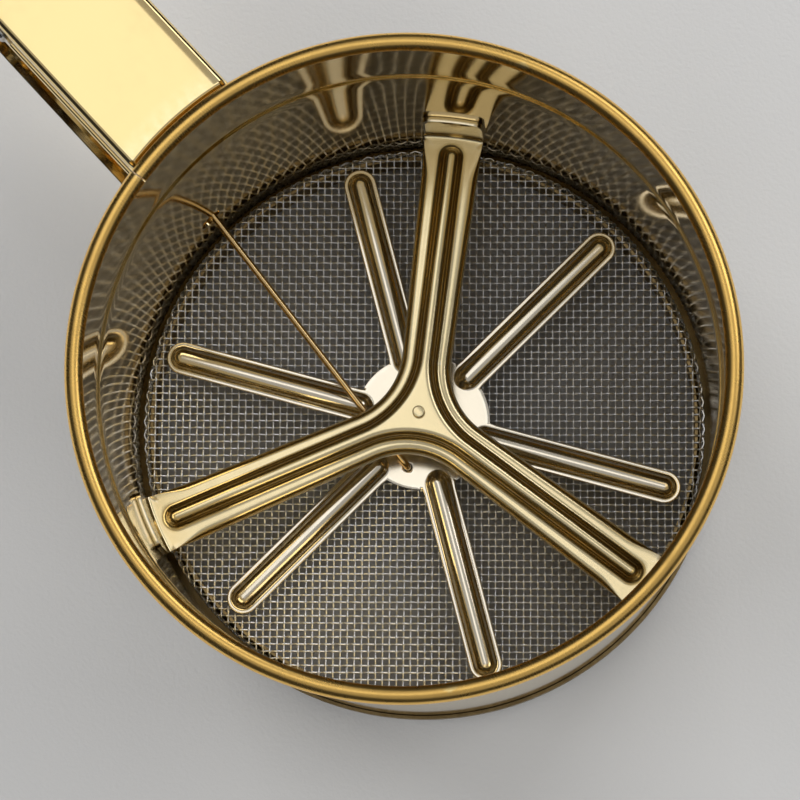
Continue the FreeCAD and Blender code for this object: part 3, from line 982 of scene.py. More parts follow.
@dataclass
class SpindleStack:
    """The fixed pin down the cup's axis with its spacer, washers and retaining ring."""

    pin_material: bpy.types.Material
    steel: bpy.types.Material
    washer: bpy.types.Material
    spring_steel: bpy.types.Material
    radius: float = 1.5 * MM
    tip_radius: float = 1.0 * MM
    tip_corner: float = 0.22 * MM
    tip_dome: float = 0.05 * MM
    bottom: float = 9.0 * MM
    shoulder: float = 19.8 * MM
    tip: float = 23.2 * MM
    chamfer: float = 0.25 * MM
    groove: tuple[float, float] = (9.4 * MM, 9.8 * MM)
    groove_depth: float = 0.4 * MM
    spacer_radius: float = 2.7 * MM
    spacer_bottom: float = 12.4 * MM
    upper_radius: float = 3.2 * MM
    upper_bottom: float = 11.9 * MM
    lower_radius: float = 2.9 * MM
    lower_top: float = 10.2 * MM
    ring_corner: float = 0.09 * MM
    retainer_radii: tuple[float, float] = (1.12 * MM, 2.7 * MM)
    retainer_slack: float = 0.02 * MM
    retainer_corner: float = 0.06 * MM
    retainer_gap: tuple[float, float] = (175.0, 50.0)

    def pin(self) -> bpy.types.Object:
        """The pin: a chamfered foot, a groove, a shoulder under the bracket and a rounded tip above it."""
        corner = (self.tip_radius - self.tip_corner, self.tip - self.tip_dome - self.tip_corner)
        dome = np.vstack([arc(corner, self.tip_corner, 0.0, 90.0, 7), [[0.0, self.tip]]])
        r, g = self.radius, self.radius - self.groove_depth
        low, high = self.groove
        foot = [(0.0, self.bottom), (r - self.chamfer, self.bottom), (r, self.bottom + self.chamfer)]
        body = [*foot, (r, low), (g, low), (g, high), (r, high), (r, self.shoulder)]
        outline = np.vstack([np.array(body), [[self.tip_radius, self.shoulder]], dome])
        return solid_piece("spindle_pin", turned_piece(outline, 48), sharp=50.0)

    def ring(self, name: str, inner: float, outer: float, low: float, high: float) -> bpy.types.Object:
        """A flat ring with broken edges, its outline a rectangle with small rounded corners."""
        corners = [(inner, low), (outer, low), (outer, high), (inner, high)]
        return solid_piece(name, turned_piece(rounded_outline(corners, self.ring_corner), 64), sharp=50.0)

    def retainer(self) -> bpy.types.Object:
        """The open ring in the pin's groove."""
        inner, outer = self.retainer_radii
        low, high = self.groove[0] + self.retainer_slack, self.groove[1] - self.retainer_slack
        corners = [(inner, low), (outer, low), (outer, high), (inner, high)]
        gap = (math.radians(self.retainer_gap[0]), math.radians(self.retainer_gap[1]))
        outline = rounded_outline(corners, self.retainer_corner)
        return solid_piece("spindle_retainer", turned_piece(outline, 48, gap=gap))

    def build(self) -> list[bpy.types.Object]:
        """Build the stack and fix it to the housing."""
        r = self.radius
        spacer = self.ring("spacer", r, self.spacer_radius, self.spacer_bottom, self.shoulder)
        upper = self.ring("washer_upper", r, self.upper_radius, self.upper_bottom, self.spacer_bottom)
        lower = self.ring("washer_lower", r, self.lower_radius, self.groove[1], self.lower_top)
        return [
            placed(self.pin(), Body.HOUSING, "spindle", self.pin_material),
            placed(spacer, Body.HOUSING, "spacer_sleeve", self.steel),
            placed(upper, Body.HOUSING, "upper_washer", self.washer),
            placed(lower, Body.HOUSING, "lower_washer", self.washer),
            placed(self.retainer(), Body.HOUSING, "spindle_clip", self.spring_steel),
        ]


@dataclass
class Agitator:
    """The turning star: a flat hub with six ribbed arms, on a flanged bush."""

    material: bpy.types.Material
    bush_material: bpy.types.Material
    top: float = 11.2 * MM
    sheet: float = 0.5 * MM
    rise: float = 1.25 * MM
    arms: int = 6
    first_azimuth: float = 32.0
    tip_circle: float = 40.9 * MM
    half_width: float = 2.7 * MM
    rib_half_width: float = 2.25 * MM
    fillet: float = 0.7 * MM
    edge_radius: float = 0.25 * MM
    rib_start: float = 10.45 * MM
    hub_radius: float = 11.1 * MM
    root_radius: float = 7.75 * MM
    bush_hole: float = 2.5 * MM
    hook_circle: float = 7.85 * MM
    hook_azimuth: float = 120.0
    hook_hole: float = 0.75 * MM
    hook_window: tuple[float, float] = (11.5, 1.6 * MM)
    bush_bore: float = 1.56 * MM
    bush_barrel: float = 2.45 * MM
    bush_flange: float = 3.5 * MM
    bush_lip: tuple[float, float] = (3.0 * MM, 10.66 * MM)
    bush_lip_slope: float = 0.02 * MM
    bush_span: tuple[float, float] = (10.3 * MM, 11.8 * MM)
    bush_corner: float = 0.12 * MM
    cut_edge: float = 0.06 * MM

    def root_angle(self) -> float:
        """Half the angle that an arm takes from the hub's edge, seen from the cup's axis."""
        return math.asin(self.half_width / self.hub_radius)

    def root(self) -> Array:
        """The line inside the hub where an arm's pressing ends, from one side of the arm to the other.

        At share s of the arm's half angle, its radius is hub - (hub - root) sqrt(1 - s^2).
        """
        share = np.sin(np.linspace(-QUARTER, QUARTER, 25))
        radius = self.hub_radius - (self.hub_radius - self.root_radius) * np.sqrt(1.0 - share**2)
        angle = share * self.root_angle()
        return radius[:, None] * np.column_stack([np.cos(angle), np.sin(angle)])

    def arm(self) -> Surface:
        """One arm along +X: a loop of lines from its edge to its rib's middle."""
        root = self.root()
        x = np.linspace(root[-1, 0], self.tip_circle, 30)
        upper = np.column_stack([x, np.full(len(x), self.half_width)])
        tip = arc((self.tip_circle, 0.0), self.half_width, 90.0, -90.0, 29)[1:]
        lower = (upper * np.array([1.0, -1.0]))[::-1]
        edge = np.vstack([upper, tip, lower[1:], root[1:-1]])
        spine = np.column_stack([np.clip(edge[:, 0], self.rib_start, self.tip_circle), np.zeros(len(edge))])
        cut = np.ones(len(edge))
        cut[len(edge) - len(root) + 1 :] = 0.0
        cut[0] = 0.0
        profile = PressedArm(self.top, self.rise, self.rib_half_width, self.fillet, self.edge_radius, 0.0)
        margin = np.linalg.norm(spine - edge, axis=1) - self.rib_half_width
        surface = profile.surface(edge, spine, margin, cut, closed=True)
        return surface if upward(surface) else surface.flipped()

    def hub(self) -> Surface:
        """The flat hub between the arms, from the bush's hole out to its edge, with the wire's hole in it."""
        root = self.root()
        step = TURN / self.arms
        between = np.linspace(self.root_angle(), step - self.root_angle(), 14)[1:-1]
        rim = self.hub_radius * np.column_stack([np.cos(between), np.sin(between)])
        sector = np.vstack([root, rim])
        turns = math.radians(self.first_azimuth) + step * np.arange(self.arms)
        c, s = np.cos(turns)[:, None], np.sin(turns)[:, None]
        x = (c * sector[:, 0] - s * sector[:, 1]).ravel()
        y = (s * sector[:, 0] + c * sector[:, 1]).ravel()
        outer = np.column_stack([x, y])
        inner = self.bush_hole * unit(outer)
        t = np.linspace(0.0, 1.0, 19)[:, None, None]
        plane = (1 - t) * inner[None] + t * outer[None]
        hook = math.radians(self.hook_azimuth)
        centre = (self.hook_circle * math.cos(hook), self.hook_circle * math.sin(hook))
        reach, depth = self.hook_window
        across = np.abs((np.arctan2(y, x) - hook + math.pi) % TURN - math.pi) < math.radians(reach)
        columns = np.flatnonzero(across)
        radii = np.linalg.norm(plane[:, columns[len(columns) // 2]], axis=1)
        rows = np.flatnonzero(np.abs(radii - self.hook_circle) < depth)
        window = (int(rows[0]), int(rows[-1]), int(columns[0]), int(columns[-1]))

        def lay(a: Array, b: Array) -> Array:
            """Points at (a, b) on the hub's upper side."""
            return np.stack([a, b, np.full_like(a, self.top)], -1)

        surface, _ = perforated(plane, True, window, centre, self.hook_hole, lay, rings=3)
        return surface if upward(surface) else surface.flipped()

    def bush(self) -> bpy.types.Object:
        """The bush: a flange above the hub, a barrel through it and a rolled lip below."""
        low, high = self.bush_span
        bore, barrel, flange = self.bush_bore, self.bush_barrel, self.bush_flange
        lip, lip_top = self.bush_lip
        corners = [
            *((bore, low), (lip, low), (lip, lip_top), (barrel, lip_top + self.bush_lip_slope)),
            *((barrel, self.top), (flange, self.top), (flange, high), (bore, high)),
        ]
        outline = rounded_outline(corners, self.bush_corner)
        return solid_piece("agitator_bushing", turned_piece(outline, 64), sharp=50.0)

    def build(self) -> list[bpy.types.Object]:
        """Six arms and the hub as one pressed sheet, with the bush in its middle."""
        arm = self.arm()
        turns = [math.radians(self.first_azimuth) + TURN / self.arms * k for k in range(self.arms)]
        star = Surface.joined([self.hub(), *(arm.turned(turn) for turn in turns)])
        piece = sheet_piece("agitator_star", star, self.sheet, self.cut_edge)
        return [
            placed(piece, Body.AGITATOR, "agitator", self.material),
            placed(self.bush(), Body.AGITATOR, "agitator_bush", self.bush_material),
        ]


@dataclass
class PullRod:
    """The wire: a tail under the hub, a rise through its hole, the long straight run and a turned-up end."""

    material: bpy.types.Material
    radius: float = 0.55 * MM
    hook_circle: float = 7.85 * MM
    hook_azimuth: float = 120.0
    foot_height: float = 10.0 * MM
    start_height: float = 12.9 * MM
    wall: tuple[float, float, float] = (46.9 * MM, 2.62 * MM, 21.0 * MM)
    bend: float = 1.2 * MM
    foot_length: float = 3.0 * MM
    end_length: float = 4.0 * MM

    def build(self) -> list[bpy.types.Object]:
        """Sweep a circle along the bent line; its end comes from how far the frame's wire reaches."""
        hook = math.radians(self.hook_azimuth)
        x, y = self.hook_circle * math.cos(hook), self.hook_circle * math.sin(hook)
        knee = np.array([x, y, self.start_height])
        run = np.array(self.wall) - knee
        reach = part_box("pull_rod")[1].x - self.radius
        elbow = knee + run * (reach - knee[0]) / run[0]
        foot = np.array([x, y, self.foot_height])
        flat = unit(run * np.array([1.0, 1.0, 0.0]))
        tip = elbow + np.array([0.0, 0.0, self.end_length])
        corners = [foot - flat * self.foot_length, foot, knee, elbow, tip]
        path = bent_path(corners, self.bend)
        side = np.array([flat[1], -flat[0], 0.0])
        wire = solid_piece("pull_wire", swept(path, side, self.radius, 20, Ends.ROUND), sharp=70.0)
        return [placed(wire, Body.ROD, "pull_rod", self.material)]


@dataclass
class Handle:
    """The D-shaped handle: a channel with rounded edges and hemmed rims, its top end folded down."""

    material: bpy.types.Material
    half_width: float = 9.7 * MM
    sheet: float = 0.8 * MM
    depth: float = 10.5 * MM
    edge_radius: float = 1.0 * MM
    hem_proud: float = 0.4 * MM
    hem_depth: float = 1.2 * MM
    hem_ease: float = 0.5 * MM
    hem_corner: float = 0.15 * MM
    crown: float = 0.12 * MM
    top: float = 70.3 * MM
    bottom: float = 12.0 * MM
    reach: float = 108.0 * MM
    upper_bend: float = 14.0 * MM
    lower_bend: float = 22.0 * MM
    wall_radius: float = 47.42 * MM
    mouth_radius: float = 47.82 * MM
    crease_height: float = 55.6 * MM
    fold_radius: float = 51.1 * MM
    lip_bottom: float = 65.8 * MM

    def web_crown(self, across: Array) -> Array:
        """How far the web bulges: crown (1 - (y / flat half-width)^2), and nothing beyond the flat."""
        share = np.clip(np.abs(across) / (self.half_width - self.edge_radius), 0.0, 1.0)
        return self.crown * (1.0 - share**2)

    def section(self) -> Array:
        """The channel's closed outline as (across, depth): from rim to rim outside, then back inside."""
        w, r, t = self.half_width, self.edge_radius, self.sheet
        step = np.linspace(0.0, 1.0, 6)
        hem_start = self.depth - self.hem_depth
        hem = np.column_stack([w + self.hem_proud * (1 - eased(step)), hem_start - self.hem_ease * step])
        proud, c = w + self.hem_proud, self.hem_corner
        hem = np.vstack([[proud - c, self.depth], [proud, self.depth - c], hem])
        side = np.column_stack([np.full(5, w), np.linspace(hem[-1, 1], r, 7)[1:-1]])
        a = np.radians(np.linspace(0.0, 90.0, 9))
        corner = np.column_stack([w - r + r * np.cos(a), r - r * np.sin(a)])
        web_y = np.linspace(w - r, 0.0, 9)[1:]
        web = np.column_stack([web_y, -self.web_crown(web_y)])
        outer = np.vstack([hem, side, corner, web])
        inner_radius = r - t
        inner_corner = np.column_stack([w - r + inner_radius * np.cos(a), r - inner_radius * np.sin(a)])
        straight = np.vstack([hem, side])[:, 1]
        inner = np.vstack([
            np.column_stack([np.full(len(straight), w - t), straight]),
            inner_corner,
            web + np.array([0.0, t]),
        ])
        flip = np.array([-1.0, 1.0])
        outer_line = np.vstack([outer, (outer * flip)[-2::-1]])
        inner_line = np.vstack([inner, (inner * flip)[-2::-1]])
        return np.vstack([outer_line, inner_line[::-1]])

    def end_x(self, across: Array, height: Array, web: Array) -> Array:
        """Where the channel meets the cup: sqrt(R^2 - y^2), R being the wall's radius or the web's fold's."""
        wall = np.where(height > self.crease_height, self.mouth_radius, self.wall_radius)
        radius = np.where(web, self.fold_radius, wall)
        return np.sqrt(radius**2 - across**2)

    def channel(self) -> Surface:
        """Carry the section round the D: out along the top, round both bends and back along the bottom."""
        section = self.section()
        y, d = section[:, 0], section[:, 1]
        x_upper, z_upper = self.reach - self.upper_bend, self.top - self.upper_bend
        x_lower, z_lower = self.reach - self.lower_bend, self.bottom + self.lower_bend
        on_web = d < self.sheet + 0.02 * MM
        share = np.linspace(0.0, 1.0, 15)[:-1, None]
        start = self.end_x(y, self.top - d, on_web)
        end = self.end_x(y, self.bottom + d, np.zeros(len(d), bool))
        out = start + share * (x_upper - start)
        top = np.stack([out, np.tile(y, (14, 1)), np.tile(self.top - d, (14, 1))], -1)
        a = np.radians(np.linspace(90.0, 0.0, 25))[:, None]
        r = self.upper_bend - d
        upper = np.stack([x_upper + r * np.cos(a), np.tile(y, (25, 1)), z_upper + r * np.sin(a)], -1)
        z = np.linspace(z_upper, z_lower, 8)[1:-1, None]
        front = np.stack([np.tile(self.reach - d, (6, 1)), np.tile(y, (6, 1)), z * np.ones(len(d))], -1)
        a = np.radians(np.linspace(0.0, -90.0, 31))[:, None]
        r = self.lower_bend - d
        lower = np.stack([x_lower + r * np.cos(a), np.tile(y, (31, 1)), z_lower + r * np.sin(a)], -1)
        back = x_lower + (end - x_lower) * (1.0 - share[::-1])
        bottom = np.stack([back, np.tile(y, (14, 1)), np.tile(self.bottom + d, (14, 1))], -1)
        points = np.concatenate([top, upper, front, lower, bottom])
        caps = [band_cap(points[0]), band_cap(points[-1]).flipped()]
        return Surface.joined([Surface.grid(points, wrap_columns=True), *caps])

    def lip(self) -> Surface:
        """The web's end folded down beside the rim: a quarter bend and a short drop, curved about the cup."""
        reach = self.half_width - self.edge_radius
        y = np.linspace(-reach, reach, 25)
        centre = (self.fold_radius, self.top - self.edge_radius)
        outer = np.vstack([arc(centre, self.edge_radius, 90.0, 180.0, 10),
                           [[self.fold_radius - self.edge_radius, self.lip_bottom]]])
        inner = np.vstack([arc(centre, self.edge_radius - self.sheet, 90.0, 180.0, 10),
                           [[self.fold_radius - self.edge_radius + self.sheet, self.lip_bottom]]])
        outline = np.vstack([outer, inner[::-1]])
        angle = np.arcsin(y / self.fold_radius)[:, None]
        lift = self.web_crown(y)[:, None] * ((outline[:, 1] - self.lip_bottom) / (self.top - self.lip_bottom))
        r, z = outline[:, 0], outline[:, 1]
        points = np.stack([r * np.cos(angle), r * np.sin(angle), z + lift], -1)
        caps = [band_cap(points[0]), band_cap(points[-1]).flipped()]
        return Surface.joined([Surface.grid(points, wrap_columns=True), *caps])

    def build(self) -> list[bpy.types.Object]:
        """The channel and its lip as one piece."""
        piece = solid_piece("handle_channel", Surface.joined([self.channel(), self.lip()]), sharp=35.0)
        return [placed(piece, Body.HOUSING, "handle_shell", self.material)]


@dataclass
class Trigger:
    """The squeeze trigger: a bowed channel with two rounded ears on the pin and a hole for the wire."""

    material: bpy.types.Material
    front: tuple[tuple[float, float], ...] = (
        (77.4 * MM, 62.0 * MM),
        (73.8 * MM, 43.0 * MM),
        (78.4 * MM, 19.5 * MM),
    )
    pivot: tuple[float, float] = (80.6 * MM, 64.0 * MM)
    half_width: float = 6.8 * MM
    edge_radius: float = 1.2 * MM
    sheet: float = 0.8 * MM
    depth: float = 7.5 * MM
    ear_radius: float = 4.6 * MM
    web_top: float = 61.5 * MM
    hole_side: float = 0.6 * MM
    hole_height: float = 25.67 * MM
    hole_radius: float = 1.75 * MM
    ear_ease: float = 2.2 * MM
    cut_edge: float = 0.12 * MM

    def front_x(self, height: Array) -> Array:
        """The web's line: the circle through the three front points, on its side nearer to the cup."""
        (x1, z1), (x2, z2), (x3, z3) = self.front
        lines = np.array([[x2 - x1, z2 - z1], [x3 - x1, z3 - z1]])
        squares = np.array([x2**2 - x1**2 + z2**2 - z1**2, x3**2 - x1**2 + z3**2 - z1**2]) / 2.0
        centre = np.linalg.solve(lines, squares)
        radius = math.hypot(x1 - centre[0], z1 - centre[1])
        return centre[0] - np.sqrt(radius**2 - (height - centre[1]) ** 2)

    def heights(self) -> Array:
        """Rows up the web."""
        return np.linspace(self.front[2][1], self.web_top, 53)

    def web(self) -> Surface:
        """The web's outer face, with the wire's round hole."""
        reach = self.half_width - self.edge_radius
        across = np.linspace(-reach, reach, 15)
        a, b = np.meshgrid(across, self.heights())
        row = int(np.argmin(np.abs(self.heights() - self.hole_height)))
        column = int(np.argmin(np.abs(across - self.hole_side)))

        def bow(side: Array, height: Array) -> Array:
            """Points of the web at a place across it and a height."""
            return np.stack([self.front_x(height), side, height], -1)

        window = (row - 3, row + 3, column - 3, column + 3)
        plane = np.stack([a, b], -1)
        return perforated(plane, False, window, (self.hole_side, self.hole_height), self.hole_radius, bow)[0]

    def side(self) -> Surface:
        """One side's outer face: the rounded edge and the flat side behind it."""
        z = self.heights()
        a = np.radians(np.linspace(0.0, 90.0, 8))
        flat = np.linspace(self.edge_radius, self.depth, 7)[1:]
        behind = np.concatenate([self.edge_radius * (1 - np.cos(a)), flat])
        out = np.concatenate([self.edge_radius * np.sin(a), np.full(6, self.edge_radius)])
        x = self.front_x(z)[:, None] + behind[None, :]
        y = np.broadcast_to(self.half_width - self.edge_radius + out, x.shape)
        return Surface.grid(np.stack([x, y, np.broadcast_to(z[:, None], x.shape)], -1))

    def ear(self) -> Surface:
        """The ear above a side: its two edges ease from the side's onto a circle about the pin."""
        px, pz = self.pivot
        crown = np.sin(np.linspace(0.0, QUARTER, 24))
        z = self.web_top + (pz + self.ear_radius - self.web_top) * crown
        half = np.sqrt(np.maximum(self.ear_radius**2 - (z - pz) ** 2, 0.0))
        blend = eased((z - self.web_top) / self.ear_ease)
        base = float(self.front_x(np.array(self.web_top)))
        left = (1 - blend) * (base + self.edge_radius) + blend * (px - half)
        right = (1 - blend) * (base + self.depth) + blend * (px + half)
        t = np.linspace(0.0, 1.0, 9)[None, :]
        x = left[:, None] + t * (right - left)[:, None]
        y = np.full_like(x, self.half_width)
        return Surface.grid(np.stack([x, y, np.broadcast_to(z[:, None], x.shape)], -1))

    def build(self) -> list[bpy.types.Object]:
        """The web, both sides and both ears as one pressed sheet that faces out."""
        web, side, ear = self.web(), self.side(), self.ear()
        web = web if facing(web, (-1.0, 0.0, 0.0)) else web.flipped()
        side = side if facing(side, (0.0, 1.0, 0.0)) else side.flipped()
        ear = ear if facing(ear, (0.0, 1.0, 0.0)) else ear.flipped()
        whole = Surface.joined([web, side, ear, side.mirrored(), ear.mirrored()])
        piece = sheet_piece("trigger_channel", whole, self.sheet, self.cut_edge)
        return [placed(piece, Body.TRIGGER, "trigger", self.material)]


@dataclass
class PivotPin:
    """The trigger's pin with its domed head, its spacing washers and its retaining ring."""

    steel: bpy.types.Material
    washer: bpy.types.Material
    pivot: tuple[float, float] = (80.6 * MM, 64.0 * MM)
    radius: float = 1.6 * MM
    head_radius: float = 2.6 * MM
    side: float = 9.7 * MM
    washer_radius: float = 3.8 * MM
    washer_span: tuple[float, float] = (6.9 * MM, 8.9 * MM)
    head_edge: float = 0.35 * MM
    head_dome: float = 0.55 * MM
    end_length: float = 1.0 * MM
    end_chamfer: float = 0.3 * MM
    ring_corner: float = 0.12 * MM
    clip_thickness: float = 0.4 * MM

    def turned(self, name: str, outline: Array) -> bpy.types.Object:
        """A piece turned about the pin's line."""
        return solid_piece(name, turned_piece(outline, 48, Axis.PIN, self.pivot), sharp=50.0)

    def pin(self) -> bpy.types.Object:
        """The pin: a head whose face is domed by a quarter of an ellipse, and a chamfered end."""
        a = np.radians(np.linspace(0.0, 90.0, 10))
        face = -self.side - self.head_edge - self.head_dome * np.cos(a)
        dome = np.column_stack([self.head_radius * np.sin(a), face])
        end, r = self.side + self.end_length, self.radius
        shaft = [(self.head_radius, -self.side), (r, -self.side), (r, end - self.end_chamfer),
                 (r - self.end_chamfer, end), (0.0, end)]
        return self.turned("pivot_pin", np.vstack([dome, np.array(shaft)]))

    def ring(self, name: str, outer: float, low: float, high: float) -> bpy.types.Object:
        """A flat ring on the pin, with small rounded corners."""
        corners = [(self.radius, low), (outer, low), (outer, high), (self.radius, high)]
        return self.turned(name, rounded_outline(corners, self.ring_corner))

    def build(self) -> list[bpy.types.Object]:
        """Build the pin's set and fix it to the housing."""
        pieces = [placed(self.pin(), Body.HOUSING, "trigger_pin", self.steel)]
        near, far = self.washer_span
        for name, low, high in (("left", near, far), ("right", -far, -near)):
            washer = self.ring(f"pivot_washer_{name}", self.washer_radius, low, high)
            pieces.append(placed(washer, Body.HOUSING, "pin_washers", self.washer))
        clip = self.ring("pin_retainer", self.head_radius, self.side, self.side + self.clip_thickness)
        pieces.append(placed(clip, Body.HOUSING, "pin_clip", self.washer))
        return pieces


@dataclass
class ReturnSpring:
    """The torsion spring on the pin: a close coil, one leg under the handle and one behind the trigger."""

    material: bpy.types.Material
    trigger: Trigger
    wire_radius: float = 0.45 * MM
    coil_radius: float = 3.05 * MM
    half_length: float = 3.5 * MM
    turns: float = 7.5
    leg_reach: float = 14.0 * MM
    upper_leg_height: float = 68.85 * MM
    blend_start: float = 66.0 * MM
    blend_end: float = 61.2 * MM
    leg_clearance: float = 0.2 * MM

    def build(self) -> list[bpy.types.Object]:
        """Sweep the wire along a leg, the helix (R sin a, along the pin, R cos a), and the other leg.

        The coil winds about its own line, from the leg under the handle to the leg behind the trigger.
        """
        px, pz = self.trigger.pivot
        a = np.linspace(0.0, TURN * self.turns, 250)
        along = self.half_length * (1.0 - 2.0 * a / a[-1])
        coil = np.column_stack([px + self.coil_radius * np.sin(a), along, pz + self.coil_radius * np.cos(a)])
        t = np.linspace(0.0, 1.0, 12)[:, None]
        first = np.array([px - self.leg_reach, self.half_length, self.upper_leg_height])
        foot = pz - self.leg_reach
        clear = self.trigger.sheet + self.wire_radius + self.leg_clearance
        last = np.array([float(self.trigger.front_x(np.array(foot))) + clear, -self.half_length, foot])
        upper = first + t[:-1] * (coil[0] - first)
        lower = coil[-1] + t[1:] * (last - coil[-1])
        path = np.vstack([upper, coil, lower])
        bar = swept(path, np.array([0.0, 1.0, 0.0]), self.wire_radius, 10, Ends.ROUND)
        spring = solid_piece("spring_coil", bar, sharp=70.0)
        spring.data.materials.append(self.material)
        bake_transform(spring)
        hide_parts("return_spring")
        log.info("spring_coil: %d faces between housing and trigger_body", len(spring.data.polygons))
        return [spring]


# ---------------------------------------------------------------------------------------------------------
# Finishes
# ---------------------------------------------------------------------------------------------------------


@dataclass
class NodeSheet:
    """A node tree with short ways to add and join nodes."""

    tree: bpy.types.NodeTree

    def add(self, kind: str, **settings: object) -> bpy.types.Node:
        """Add a node and set its own properties."""
        node = self.tree.nodes.new(kind)
        for name, value in settings.items():
            setattr(node, name, value)
        return node

    def join(self, source: bpy.types.NodeSocket, target: bpy.types.NodeSocket) -> None:
        """Link an output to an input."""
        self.tree.links.new(source, target)

    def math(self, operation: str, a: object, b: object = 0.0) -> bpy.types.NodeSocket:
        """One sum on two values, each a number or an output.

        Args:
            operation: the Math node's operation.
            a: the first value.
            b: the second value.

        Returns:
            The result's output.
        """
        node = self.add("ShaderNodeMath", operation=operation)
        for socket, value in zip(node.inputs, (a, b)):
            if isinstance(value, bpy.types.NodeSocket):
                self.join(value, socket)
            else:
                socket.default_value = value
        return node.outputs[0]

    def spread(self, value: bpy.types.NodeSocket, low: float, high: float) -> bpy.types.NodeSocket:
        """Stretch a value's range from low..high to 0..1, held at both ends."""
        node = self.add("ShaderNodeMapRange")
        self.join(value, node.inputs["Value"])
        node.inputs["From Min"].default_value = low
        node.inputs["From Max"].default_value = high
        return node.outputs["Result"]

    def noise(self, place: bpy.types.NodeSocket, scale: object, detail: float) -> bpy.types.NodeSocket:
        """Cloudy noise from 0 to 1 at a scale per metre."""
        node = self.add("ShaderNodeTexNoise")
        self.join(place, node.inputs["Vector"])
        if isinstance(scale, bpy.types.NodeSocket):
            self.join(scale, node.inputs["Scale"])
        else:
            node.inputs["Scale"].default_value = scale
        node.inputs["Detail"].default_value = detail
        return node.outputs["Fac"]


def shared_group(name: str, inputs: dict[str, float], outputs: Sequence[str]) -> tuple[NodeSheet, dict, dict]:
    """Start a shader node group with named number inputs and outputs.

    Args:
        name: the group's name.
        inputs: each input's name and usual value.
        outputs: the outputs' names.

    Returns:
        The group's sheet, its inputs by name, and its outputs by name.
    """
    tree = bpy.data.node_groups.new(name, "ShaderNodeTree")
    for label, value in inputs.items():
        tree.interface.new_socket(label, in_out="INPUT", socket_type="NodeSocketFloat").default_value = value
    for label in outputs:
        tree.interface.new_socket(label, in_out="OUTPUT", socket_type="NodeSocketFloat")
    sheet = NodeSheet(tree)
    begin, finish = sheet.add("NodeGroupInput"), sheet.add("NodeGroupOutput")
    given = {label: begin.outputs[label] for label in inputs}
    return sheet, given, {label: finish.inputs[label] for label in outputs}


class FinishGroups:
    """The effects that several finishes share, each built once."""

    def __init__(self) -> None:
        """Build every group."""
        self.ripple = self.build_ripple()
        self.polish = self.build_polish()
        self.smudge = self.build_smudge()
        self.wear = self.build_wear()

    def build_ripple(self) -> bpy.types.NodeTree:
        """The slow waves of drawn and pressed sheet: noise with its middle at no height."""
        sheet, inputs, outputs = shared_group("sheet_ripple", {"Scale": 90.0, "Depth": 0.01}, ["Height"])
        place = sheet.add("ShaderNodeTexCoord").outputs["Object"]
        cloud = sheet.noise(place, inputs["Scale"], 1.0)
        centred = sheet.math("SUBTRACT", cloud, 0.5)
        sheet.join(sheet.math("MULTIPLY", centred, inputs["Depth"]), outputs["Height"])
        return sheet.tree

    def build_polish(self) -> bpy.types.NodeTree:
        """Fine polishing lines: noise squeezed along two crossing directions, kept where it is strong."""
        inputs = {"Scale": 900.0, "Depth": 0.001, "Roughness": 0.1, "Haze": 0.05}
        sheet, inputs, outputs = shared_group("polish_lines", inputs, ["Roughness", "Height"])
        place = sheet.add("ShaderNodeTexCoord").outputs["Object"]
        lines = []
        for turn, squeeze in ((0.5, 14.0), (-0.9, 20.0)):
            lay = sheet.add("ShaderNodeMapping")
            sheet.join(place, lay.inputs["Vector"])
            lay.inputs["Rotation"].default_value = (turn, turn * 0.7, turn * 1.3)
            lay.inputs["Scale"].default_value = (1.0, squeeze, 1.0)
            lines.append(sheet.spread(sheet.noise(lay.outputs["Vector"], inputs["Scale"], 2.0), 0.56, 0.74))
        both = sheet.math("MAXIMUM", *lines)
        sheet.join(sheet.math("MULTIPLY", both, inputs["Depth"]), outputs["Height"])
        haze = sheet.math("MULTIPLY", both, inputs["Haze"])
        sheet.join(sheet.math("ADD", inputs["Roughness"], haze), outputs["Roughness"])
        return sheet.tree

    def build_smudge(self) -> bpy.types.NodeTree:
        """Handling marks: two sizes of soft cloud multiplied together."""
        sheet, inputs, outputs = shared_group("handling_marks", {"Scale": 45.0, "Amount": 0.1}, ["Amount"])
        place = sheet.add("ShaderNodeTexCoord").outputs["Object"]
        wide = sheet.spread(sheet.noise(place, inputs["Scale"], 3.0), 0.42, 0.68)
        fine = sheet.spread(sheet.noise(place, sheet.math("MULTIPLY", inputs["Scale"], 9.0), 4.0), 0.35, 0.65)
        cloud = sheet.math("MULTIPLY", wide, fine)
        sheet.join(sheet.math("MULTIPLY", cloud, inputs["Amount"]), outputs["Amount"])
        return sheet.tree

    def build_wear(self) -> bpy.types.NodeTree:
        """Wear on raised edges: how pointed the surface is, broken up by a fine cloud."""
        sheet, inputs, outputs = shared_group("edge_wear", {"Amount": 0.5, "Start": 0.52}, ["Mask"])
        pointed = sheet.add("ShaderNodeNewGeometry").outputs["Pointiness"]
        over = sheet.math("SUBTRACT", pointed, inputs["Start"])
        place = sheet.add("ShaderNodeTexCoord").outputs["Object"]
        cloud = sheet.spread(sheet.noise(place, 700.0, 3.0), 0.3, 0.7)
        mask = sheet.spread(sheet.math("MULTIPLY", over, cloud), 0.0, 0.06)
        sheet.join(sheet.math("MULTIPLY", mask, inputs["Amount"]), outputs["Mask"])
        return sheet.tree


